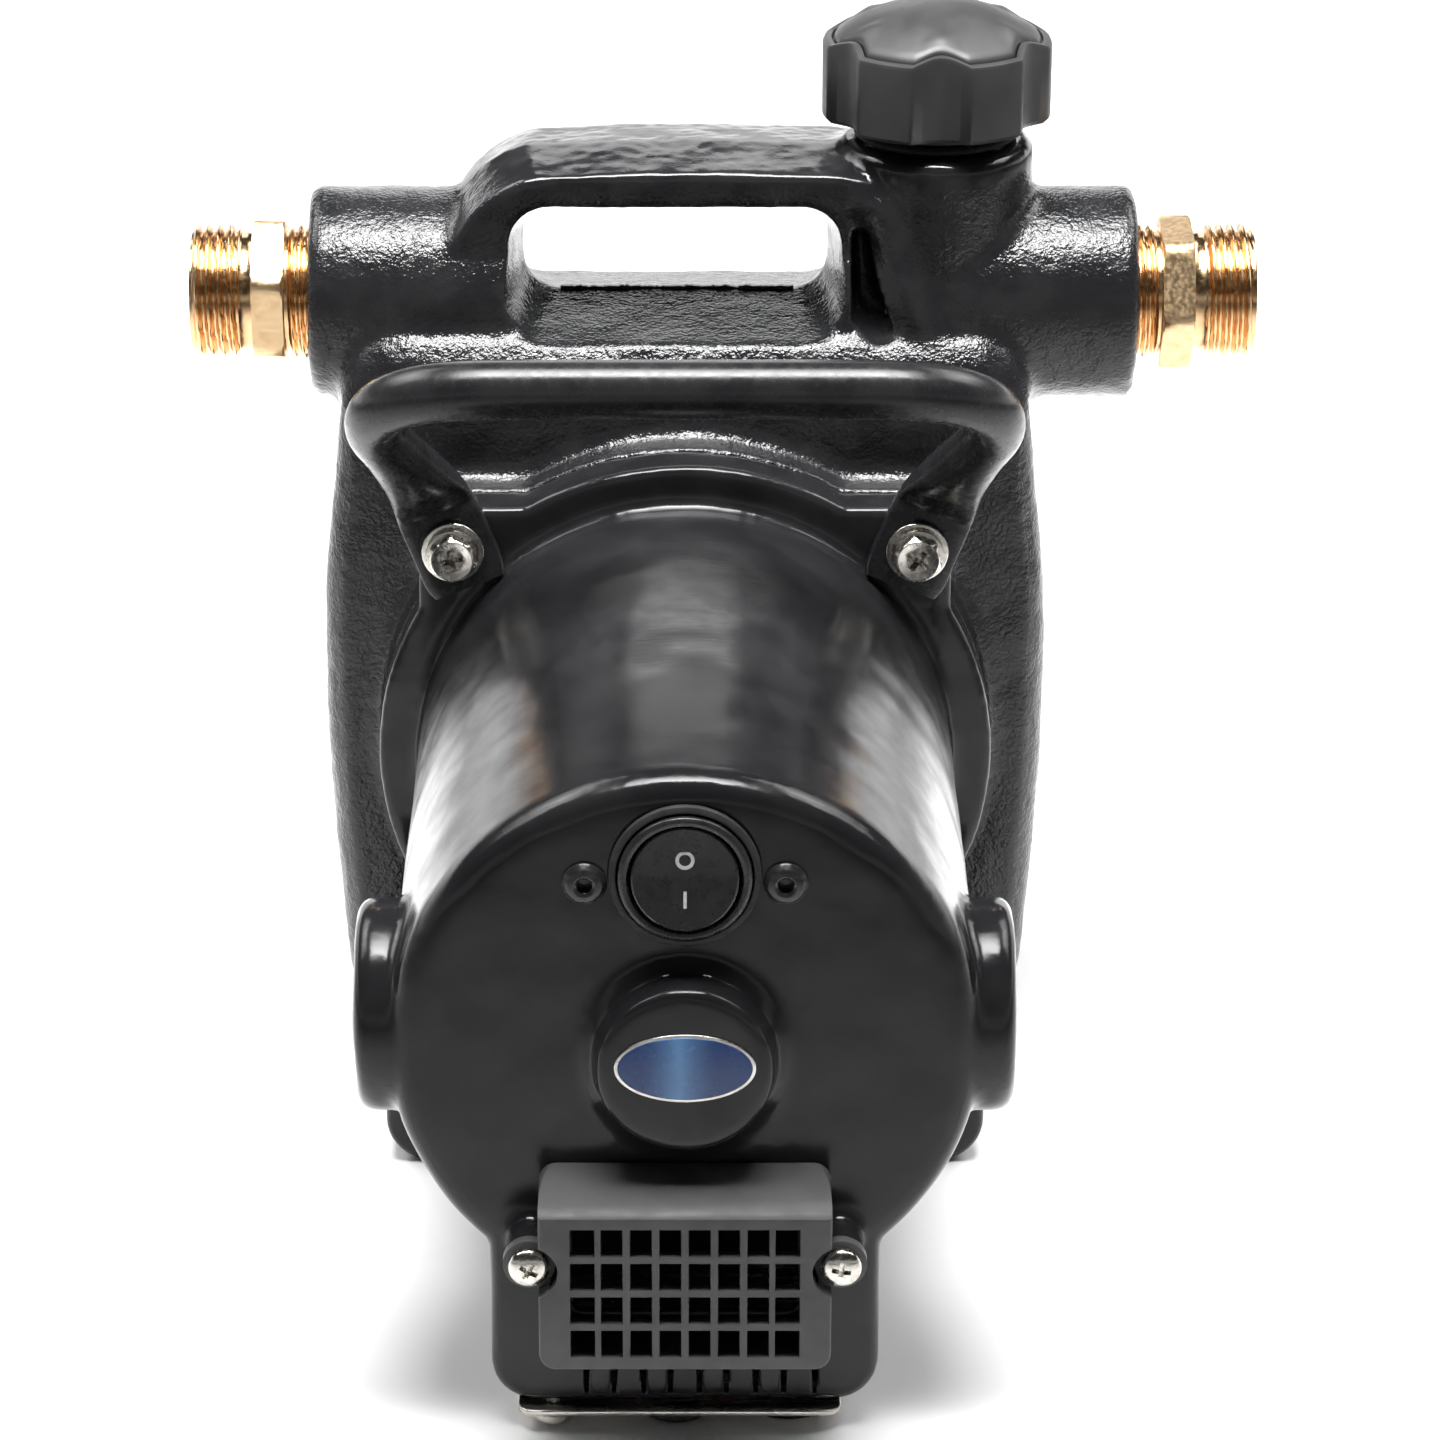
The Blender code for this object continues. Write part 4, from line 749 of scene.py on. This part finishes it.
# ---- fittings
def adapter(name, end_x, outward, turn):
    """Pipe thread, hexagon, neck and garden hose thread as one radius over place and angle."""
    pipe_pitch, hose_pitch, across_flats, bore = 1.81, 2.209, 27.0, 9.5

    def thread(distance, angle, pitch, depth, crest, start, end):
        phase = (distance / pitch - outward * angle / math.tau) % 1.0
        ridge = min(1.0, max(0.0, 1.35 - 3.4 * abs(phase - 0.5)))
        fade = min(1.0, max(0.0, min(distance - start, end - distance) / (0.4 * pitch)))
        return crest - depth * (1 - ridge * fade)

    def shape(radius, place, angle):
        distance = (place - end_x) * outward
        if radius <= bore + 1.6:
            return radius
        if radius == across_flats:
            chamfer = 15.2 - 0.55 * max(0.0, abs(distance - 8.3) - 2.75) / 0.35
            return min(hexagon_radius(across_flats / 2, angle + turn), chamfer)
        if distance < 5.2:
            return min(radius, thread(distance, angle, pipe_pitch, 1.1, 13.3, -13, 4.4))
        if distance > 14:
            return min(radius, thread(distance, angle, hose_pitch, 1.35, 13.5, 13.6, 23.6))
        return radius

    def along(distance):
        return end_x + outward * distance

    stations = [(bore, along(-13)), (12.4, along(-13))]
    stations += [(13.3, along(d)) for d in np.arange(-12.4, 5.19, 0.16)] + [(12.6, along(5.2))]
    stations += [(across_flats, along(d)) for d in (5.2, 5.4, 5.6, 8.3, 11.0, 11.2, 11.4)]
    stations += [(12.2, along(11.4)), (11.95, along(11.8)), (11.95, along(13.6)), (12.2, along(14))]
    stations += [(13.5, along(d)) for d in np.arange(14.05, 23.0, 0.16)]
    stations += [(12.7, along(23.3)), (12.3, along(23.7)), (10.0, along(23.7)), (bore, along(23.2))]
    piece = lathe(name, stations, "X", (0, 0, PORT_Z), 120, shape)
    publish(piece, name + "_threaded", "brass", replaces=[name], sharp=38)
    piece.data.materials.append(LOOKS["hexagon"])
    for face in piece.data.polygons:
        centre = face.center / MM
        distance = (centre.x - end_x) * outward
        if 5.1 < distance < 11.5 and math.hypot(centre.y, centre.z - PORT_Z) > 12.6:
            face.material_index = 1


def make_fill_plug():
    knob_r, lobes, scallop, dome_slope = 22.4, 6, 2.5, 0.62
    low, mid, top = 192.2, 208.0, 215.4

    def hollow_at(angle):
        return scallop * max(math.cos(lobes * (angle + math.pi / 2)), 0)

    def rim_share(radius):
        return min(1.0, max(0.0, (radius - 15.0) / (knob_r - 16.0)))

    def lobed(radius, place, angle):
        return radius - hollow_at(angle) * rim_share(radius)

    def follow_dome(piece):
        """Raises the top edge where a scallop cuts into the dome."""
        for vertex in piece.data.vertices:
            x, y = vertex.co.x - NECK_X, vertex.co.y
            hollow = hollow_at(math.atan2(y, x))
            share = rim_share(math.hypot(x, y) + hollow)
            height = min(1.0, max(0.0, (vertex.co.z - low - 9) / (mid - low - 10)))
            vertex.co.z += dome_slope * hollow * share * height
        return piece

    centre = (NECK_X, 0, 0)
    body = [(0, low + 2), (15.8, low + 2), (16.4, low), (knob_r - 0.9, low), (knob_r, low + 0.9),
            (knob_r, mid - 1.0), (knob_r - 0.3, mid - 0.3), (knob_r - 1.0, mid), (knob_r - 1.7, mid),
            (knob_r - 1.9, mid - 0.9), (knob_r - 2.3, mid - 1.0), (16, mid - 1.0), (0, mid - 1.0)]
    knob = lathe("knob", body, "Z", centre, 240, lobed)
    stem = [(0, PORT_Z + 16), (11.4, PORT_Z + 16)]
    for turn in range(8):
        z = PORT_Z + 17 + 2.5 * turn
        stem += [(12.5, z), (12.5, z + 1.0), (11.5, z + 1.5), (11.5, z + 2.3)]
    stem += [(12.5, 190), (15.5, 190.6), (15.5, low + 3), (0, low + 3)]
    add(knob, lathe("stem", stem, "Z", centre, 64))
    publish(follow_dome(knob), "fill_plug_knob", "knob_plastic", "plug_knob", replaces=["fill_plug"],
            sharp=40)
    edge = knob_r - 2.2
    cap = [(0, mid - 0.6), (edge, mid - 0.6), (edge, mid - 0.1), (edge - 0.2, mid + 0.35)]
    for share in np.linspace(0.97, 0.03, 14):
        cap.append((edge * share, mid + 0.6 + (top - mid - 0.6) * (1 - share * share)))
    crown = lathe("crown", cap + [(0, top)], "Z", centre, 240, lobed)
    publish(follow_dome(crown), "fill_plug_crown", "knob_plastic", "plug_knob", replaces=["fill_plug_insert"],
            sharp=40)
    ring = [(14.5 + 1.6 * math.cos(a), 189.1 + 0.78 * math.sin(a)) for a in around(16)]
    publish(lathe("ring", ring, "Z", centre, 72), "fill_plug_ring", "rubber", "plug_carrier",
            replaces=["fill_plug_o_ring"])


def cross_recess(reach, width, low, high, axis="Y"):
    """Cutter for a cross slot that tapers inwards; low is its mouth and high its tip."""
    at = AXES[axis][1]
    arms = []
    for turn in (0, 1):
        rings = []
        for place, share in ((low, 1.0), (high, 0.35)):
            half_long, half_wide = reach * share, width * (0.55 + 0.45 * share)
            flat = [(half_long, half_wide), (-half_long, half_wide), (-half_long, -half_wide),
                    (half_long, -half_wide)]
            if turn:
                flat = [(-b, a) for a, b in flat]
            rings.append([at(a, b, place) for a, b in flat])
        arms.append(grid_solid("arm", rings))
    return add(*arms)


def make_pan_screw(name, node, head_r, head_h, body="pump", axis="Y", outward=-1, turn=0.3):
    """Domed head with a cross recess on a plain shank, in the place of a packed screw."""
    low, high = span(node)
    direction = AXES[axis][0]
    face = (low if outward < 0 else high).dot(direction)
    far = (high if outward < 0 else low).dot(direction)
    seat = face - outward * head_h
    dome = [(0, face)] + [(head_r * math.sin(a), seat + outward * head_h * (0.35 + 0.65 * math.cos(a)))
                          for a in np.radians(np.linspace(12, 84, 9))]
    profile = dome + [(head_r, seat + outward * head_h * 0.3), (head_r, seat + outward * 0.2),
                      (head_r - 0.2, seat), (1.5, seat), (1.5, far + outward * 0.5), (1.1, far), (0, far)]
    centre = Vector(centre_of(node))
    centre -= centre.dot(direction) * direction
    screw = lathe(name, profile, axis, centre, 48)
    tool = cross_recess(head_r * 0.56, head_r * 0.13, face + outward * 0.3, face - outward * 1.7, axis)
    tool.data.transform(Matrix.Translation(centre) @ Matrix.Rotation(turn, 4, axis))
    publish(cut(screw, tool), name, "bright_steel", body, replaces=[node], sharp=30)


def make_flange_screws():
    """Cross-recessed hexagon screws with a split washer, on a flat washer where the handle sits."""
    for word, sign in SIDES:
        for node, up, slot in (("handle_screw_", 1, "bright_steel"), ("flange_screw_", -1, "black_steel")):
            low, high = span(node + word)
            x, z = sign * EAR, AXIS_Z + up * EAR
            head, seat = low.y, low.y + 4.2
            ring = seat - 1.5

            def hexagonal(radius, place, angle, head=head, turn=0.4 + sign):
                if radius < 4.1:
                    return radius
                return min(hexagon_radius(4.15, angle + turn), 4.62 - 0.9 * max(0.0, head + 0.7 - place))

            profile = [(0, head + 0.12), (3.3, head + 0.12), (3.7, head), (4.2, head), (4.2, head + 0.25),
                       (4.2, head + 0.7), (4.2, ring - 0.15), (3.9, ring), (2.8, ring), (2.8, high.y),
                       (0, high.y)]
            screw = lathe("screw", profile, centre=(0, 0, 0), steps=72, shape=hexagonal)
            tool = cross_recess(2.5, 0.62, head - 0.5, head + 2.4)
            tool.data.transform(Matrix.Rotation(0.45 * sign + 0.2, 4, "Y"))
            cut(screw, tool)
            screw.data.transform(Matrix.Translation((x, 0, z)))
            publish(screw, node + word + "_head", slot, replaces=[node + word], sharp=30)

            front, back = ring + 0.1, seat - 0.1
            section = filleted([(2.9, front), (5.1, front), (5.1, back), (2.9, back)], 0.2, closed=True,
                               steps=2)
            split = lathe("split", section, centre=(x, 0, z), steps=56)
            gap = box(-0.4, 0.4, -2, 2, 0, 8)
            gap.data.transform(Matrix.Translation((x, (ring + seat) / 2, z)) @ Matrix.Rotation(1.9, 4, "Y")
                               @ Matrix.Rotation(0.35, 4, "Z"))
            level = "upper_" if up > 0 else "lower_"
            publish(cut(split, gap), "split_washer_" + level + word, slot, sharp=30)
        low, high = span("handle_washer_" + word)
        rounded = filleted([(3.2, high.y), (6, high.y), (6, low.y), (3.2, low.y)], 0.25, closed=True, steps=3)
        publish(lathe("washer", rounded, centre=(sign * EAR, 0, AXIS_Z + EAR)), "flat_washer_" + word,
                "bright_steel", replaces=["handle_washer_" + word], sharp=40)


def make_carry_handle():
    """Tube bow whose ends are pressed flat into straps."""
    tube_r, strap_half, strap_thick = 5.5, 8.0, 3.2
    bow = [(EAR - 3.0, -7.8), (EAR - 1.9, -5), (EAR, 0), (EAR + 2, 5), (EAR + 4, 10), (51.6, 20), (55.2, 31),
           (58.0, 41), (56.3, 49), (50, 54.6), (40, 57.2), (26, 57.6), (0, 57.6)]
    half = []
    for x, rise in bow:
        bend = max(rise - 8.0, 0)
        y = FLANGE_FRONT_Y - 1.5 * GAP - strap_thick / 2 - 0.825 * bend * bend / (bend + 5)
        half.append((x, y, AXIS_Z + EAR + rise - 0.25 * bend))
    flatness = [1, 1, 1, 1, 0.86, 0.26] + [0] * (len(half) - 6)
    width = [7.2, 8.0, strap_half, strap_half, 7.6, 6.2] + [tube_r] * (len(half) - 6)
    stations = [(*point, w, tube_r + (strap_thick / 2 - tube_r) * flat, flat)
                for point, w, flat in zip(half, width, flatness)]
    mirrored = [(-s[0],) + s[1:] for s in reversed(stations[:-1])]
    path = curve_through(stations + mirrored, 7)

    def section(i):
        wide, thick, flat = path[i][3:]
        power = 2 / (2 + 5 * min(max(flat, 0), 1))
        outline = []
        for angle in around(40):
            c, s = math.cos(angle), math.sin(angle)
            outline.append((wide * math.copysign(abs(c) ** power, c),
                            thick * math.copysign(abs(s) ** power, s)))
        return outline

    handle = swept("bow", [p[:3] for p in path], section, (1, 0, 0))
    cut(handle, *[rod(3.3, -60, -40, "Y", (x, 0, z), 32) for x, z in corners()[:2]])
    publish(handle, "carry_handle_tube", "coated_tube", replaces=["carry_handle"], sharp=50)


def make_switch():
    centre = (0, 0, SWITCH_Z)
    face = END_Y - GAP
    seal = filleted([(11.9, face + 0.1), (13.2, face + 0.1), (13.2, face - 1.1), (11.9, face - 1.6)], 0.35,
                    closed=True)
    publish(lathe("seal", seal, centre=centre, steps=96), "switch_gasket", "rubber", replaces=["switch_seal"])
    bezel = filleted([(0, -160), (10.9, -160), (10.9, face - 0.2), (11.6, face - 0.2),
                      (11.6, face - 2.2, 0.5), (10.9, face - 2.7, 0.4), (10.1, face - 2.5, 0.3),
                      (9.75, face - 1.4), (9.75, -170), (0, -170)], 0.1, steps=3)
    publish(lathe("bezel", bezel, centre=centre, steps=96), "switch_bezel", "switch_plastic",
            replaces=["switch_body"])

    pivot = Vector((0, face - 0.5, SWITCH_Z))
    tilt = Matrix.Rotation(math.radians(-7.0), 4, "X")
    front = -2.15

    def dished(x, z):
        """Front of the rocker: hollow across, as two shallow scoops that meet at the pivot line."""
        return front + 0.55 * (1 - min(1, (x * x + z * z) / 80)) - 0.25 * min(abs(z) / 9, 1)

    def dished_ring(radius, lift=0.0):
        flat = min(radius, 9.0)
        return [(radius * c, dished(flat * c, flat * s) + lift, radius * s) for c, s in circle(0, 0, 1, 72)]

    rings = [[(x, 2.6, z) for x, z in circle(0, 0, 9.35, 72)]]
    rings += [dished_ring(*ring) for ring in ((9.35, 0.6), (9.3, 0.25), (9.0, 0.0))]
    rings += [dished_ring(radius) for radius in (8.6, 8.0, 7.0, 5.5, 4.0, 2.5, 1.0, 0.2)]
    rocker = grid_solid("rocker", rings)
    off = lathe("off", [(1.05, -0.1), (1.65, -0.1), (1.65, 0.2), (1.05, 0.2)], centre=(0, 0, 0), steps=48)
    on = box(-0.28, 0.28, -0.1, 0.2, -1.6, 1.6)
    for mark, z in ((off, 3.3), (on, -3.9)):
        mark.data.transform(Matrix.Translation((0, dished(0, z) - 0.03, z)))
    signs = joined("signs", [off, on])
    for piece in (rocker, signs):
        piece.data.transform(Matrix.Translation(pivot) @ tilt)
    publish(rocker, "switch_rocker_cap", "switch_plastic", "rocker", replaces=["switch_rocker"], sharp=35)
    publish(signs, "switch_marks", "switch_plastic", "rocker", look="marking")


def make_rivets():
    face = END_Y - GAP
    profile = filleted([(0, -171), (1.7, -171), (1.7, face + 0.2), (3.9, face + 0.2), (3.9, face - 0.3, 0.3),
                        (3.0, face - 1.3, 0.8), (1.9, face - 1.7, 0.4), (1.3, face - 1.2, 0.2),
                        (1.2, face + 0.6), (0, face + 0.6)], 0, steps=4)
    for word, sign in SIDES:
        rivet = lathe("rivet", profile, centre=(sign * RIVET_X, 0, RIVET_Z), steps=48)
        publish(rivet, "blind_rivet_" + word, "black_steel", replaces=["rivet_" + word])


def make_grille():
    """Hollow cover with a sloping top, eight by four openings and two screw notches."""
    low, high = span("vent_grille")
    half, back, front, top, bottom = 25.6, END_Y - GAP, low.y, high.z, low.z
    corner = 3.0
    cover = prism("cover", rounded_box(-half, half, bottom, top, corner), front, back, bevel=0.5)
    above = [(front - 1, top - 4.3), (front, top - 4.3), (front + 1.0, top - 3.5), (back, top + 0.2),
             (back + 1, top + 2), (front - 1, top + 2)]
    cut(cover, prism("slope", above, -40, 40, "X"))
    inner = [(back + 5, bottom + 2), (front + 2, bottom + 2), (front + 2, top - 6.4), (back, top - 2),
             (back + 5, top - 2)]
    cut(cover, prism("inside", inner, -half + 2, half - 2, "X"))
    ear_back = POST_Y - GAP
    ear_front = ear_back - 2.0
    for sign in (-1, 1):
        place = (sign * GRILLE_SCREW_X, 0, GRILLE_SCREW_Z)
        cut(cover, rod(5.1, front - 5, ear_front + 0.5, "Y", place),
            rod(POST_R + GAP, ear_back - 0.5, back + 5, "Y", place))
        add(cover, rod(4.6, ear_front, ear_back, "Y", place))
        cut(cover, rod(1.9, front - 5, back + 5, "Y", place, 24))
    for column in range(8):
        for row in range(4):
            x, z = (column - 3.5) * 5.12, bottom + 15.2 + (row - 1.5) * 6.64
            wide = 2.15 if column in (0, 7) else 1.9
            rings = []
            for y, grow in ((front - 1, 0.25), (front + 0.25, 0.0), (front + 4, -0.15)):
                rings.append([(x + a * (wide + grow), y, z + b * (2.65 + grow)) for a, b in
                              ((1, 1), (-1, 1), (-1, -1), (1, -1))])
            cut(cover, grid_solid("hole", rings))
    edges = cover.modifiers.new("edges", "BEVEL")
    edges.width, edges.segments, edges.limit_method = 0.14, 2, "ANGLE"
    edges.angle_limit = math.radians(40)
    publish(evaluated(cover), "vent_grille_cover", "grille_plastic", replaces=["vent_grille"])


def make_base():
    low, high = span("base_plate")
    plate = prism("plate", rounded_box(low.x, high.x, low.y, high.y, 3), low.z, high.z, "Z", bevel=0.35)
    for node, radius in (("plate_screw", 1.9), ("cord_gland", 4.9), ("rubber_foot", 2.3)):
        cut(plate, rod(radius, low.z - 3, high.z + 3, "Z", centre_of(node), 32))
    publish(plate, "base_cover", "bright_steel", look="plate", replaces=["base_plate"])

    seat, stem_top = low.z - GAP, span("rubber_foot")[1].z
    foot = filleted([(0, 0), (2.4, 0), (2.8, 1.6), (5.4, 1.6), (6.0, 0), (9.4, 0, 0.8), (10.3, seat, 0.6),
                     (2, seat), (2, stem_top), (0, stem_top)], 0.2, steps=3)
    publish(lathe("foot", foot, "Z", centre_of("rubber_foot"), 72), "rubber_foot_pad", "rubber",
            replaces=["rubber_foot"])

    def fluted(radius, place, angle):
        return radius - (0.35 if radius > 7 and math.cos(12 * angle) > 0.55 else 0)

    top = span("cord_gland")[1].z
    gland = filleted([(3.0, 0.5), (6.4, 0.5, 0.4), (7.6, 1.8, 0.4), (7.6, seat, 0.3), (4.5, seat), (4.5, top),
                      (3.0, top)], 0, closed=True, steps=3)
    publish(lathe("gland", gland, "Z", centre_of("cord_gland"), 144, fluted), "cord_gland_nut",
            "grille_plastic", look="rubber", replaces=["cord_gland"])
    make_pan_screw("plate_screw_head", "plate_screw", 3.75, 2.8, axis="Z", outward=-1)


def make_plugs():
    """Brush caps in the motor's sides, and the drain plug behind the casing."""
    for word, sign in SIDES:
        low, high = span("brush_cap_" + word)
        inner, outer = sorted((low.x, high.x), key=abs)
        profile = filleted([(0, inner), (7.6, inner), (7.6, outer, 0.8), (0, outer)], 0.3)
        cap = lathe("cap", profile, "X", (0, BRUSH_Y, AXIS_Z), 72)
        x0, x1 = sorted((outer - sign * 1.4, outer + sign * 2))
        cut(cap, box(x0, x1, BRUSH_Y - 9, BRUSH_Y + 9, AXIS_Z - 0.8, AXIS_Z + 0.8))
        publish(cap, "brush_cap_cover_" + word, "grille_plastic", replaces=["brush_cap_" + word])

    low, high = span("drain_plug")
    z = (low.z + high.z) / 2
    seat = CASING_HIGH.y + GAP

    def hexagonal(radius, place, angle):
        if radius < 6.5:
            return radius
        return min(hexagon_radius(6.5, angle), 7.3 - 0.9 * max(0.0, place - (high.y - 0.8)))

    profile = [(0, low.y), (6.0, low.y), (6.0, seat), (7, seat), (7, seat + 0.4), (7, high.y - 0.8),
               (7, high.y - 0.3), (7, high.y - 0.05), (5.9, high.y), (0, high.y)]
    plug = lathe("plug", profile, centre=(0, 0, z), steps=72, shape=hexagonal)
    publish(plug, "drain_plug_hexagon", "brass", look="hexagon", replaces=["drain_plug"], sharp=30)


def dress_packed_nodes():
    """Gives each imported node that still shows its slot's procedural material."""
    for part in frame["record"]["subparts"]:
        node = frame["nodes"][part["node"]]
        node.data.materials.clear()
        node.data.materials.append(LOOKS[part["material_slot"]])


# ---- stage
def make_stage():
    """Plain pale floor, a pale horizon and soft lights over and behind the pump."""
    floor = Surface("studio_floor", (0.86, 0.86, 0.86), 0.75)
    floor.mottled(900, (0.84, 0.84, 0.84))
    half, behind = 12000.0, 1300.0
    slab = prism("floor", rounded_box(-half, half, -half, behind, 400), -2.0, -0.05, "Z")
    slab.data.transform(Matrix.Scale(MM, 4))
    slab.data.materials.append(floor.material)
    slab.name = "studio_floor"

    world = bpy.data.worlds.new("studio")
    bpy.context.scene.world = world
    world.use_nodes = True
    tree = world.node_tree
    place = tree.nodes.new("ShaderNodeTexCoord")
    parts = tree.nodes.new("ShaderNodeSeparateXYZ")
    tree.links.new(place.outputs["Generated"], parts.inputs["Vector"])
    glow = tree.nodes.new("ShaderNodeMath")
    glow.operation = "MULTIPLY_ADD"
    horizon = faded(tree, parts.outputs["Z"], 0.11, 0.23, 2.0, 0.0)
    behind_pump = faded(tree, parts.outputs["Y"], -0.3, 0.7, 0.22, 1.0)
    sky = tree.nodes["Background"]
    for source, socket in ((horizon, glow.inputs[0]), (behind_pump, glow.inputs[1]),
                           (glow.outputs["Value"], sky.inputs["Strength"])):
        tree.links.new(source, socket)
    glow.inputs[2].default_value = 0.04
    sky.inputs["Color"].default_value = (1, 1, 1, 1)

    def softbox(name, place, aim, size, power, spread=180):
        light = bpy.data.lights.new(name, "AREA")
        light.shape = "RECTANGLE"
        light.size, light.size_y = size
        light.energy = power
        light.spread = math.radians(spread)
        lamp = placed(name, light)
        lamp.location = place
        lamp.rotation_euler = (Vector(place) - Vector(aim)).to_track_quat("Z", "Y").to_euler()
        lamp.visible_camera = False

    softbox("overhead", (0.0, -0.10, 1.0), (0, 0.30, 0), (0.56, 0.52), 7.4, 78)
    softbox("back_panel", (0.0, 1.45, 0.785), (0, 0, 0.15), (0.5, 0.57), 2.0)
    for word, sign in SIDES:
        softbox("rear_floor_" + word, (sign * 1.1, 1.0, 1.5), (sign * 0.3, 0.35, 0), (0.9, 0.9), 1.8, 60)
    for word, sign in SIDES:
        softbox("side_" + word, (sign * 1.2, 0.3, 1.5), (sign * 0.1, -0.02, 0), (0.9, 0.9), 1.2, 46)


def make_camera():
    data = bpy.data.cameras.new("camera")
    data.sensor_width = 36.0
    data.lens = 131.4
    data.shift_x = 35 / 1440
    camera = placed("camera", data)
    camera.location = (0.0, -0.9974, 0.4845)
    camera.rotation_euler = (math.radians(90 - 22.9), 0, 0)
    bpy.context.scene.camera = camera


# ---- making
make_camera()
make_stage()
dress_packed_nodes()
make_casing()
make_parting_flash()
make_housing()
make_tongues()
make_motor_foot()
make_badge()
adapter("suction_adapter", CASING_LOW.x, -1, math.radians(22.9))
adapter("discharge_adapter", CASING_HIGH.x, 1, math.radians(-7.1))
make_fill_plug()
make_flange_screws()
make_carry_handle()
make_switch()
make_rivets()
make_grille()
for word, turn in (("left", 0.5), ("right", 0.15)):
    make_pan_screw("grille_screw_head_" + word, "grille_screw_" + word, 3.6, 2.6, turn=turn)
make_base()
make_plugs()

bpy.context.scene.view_settings.view_transform = "Standard"
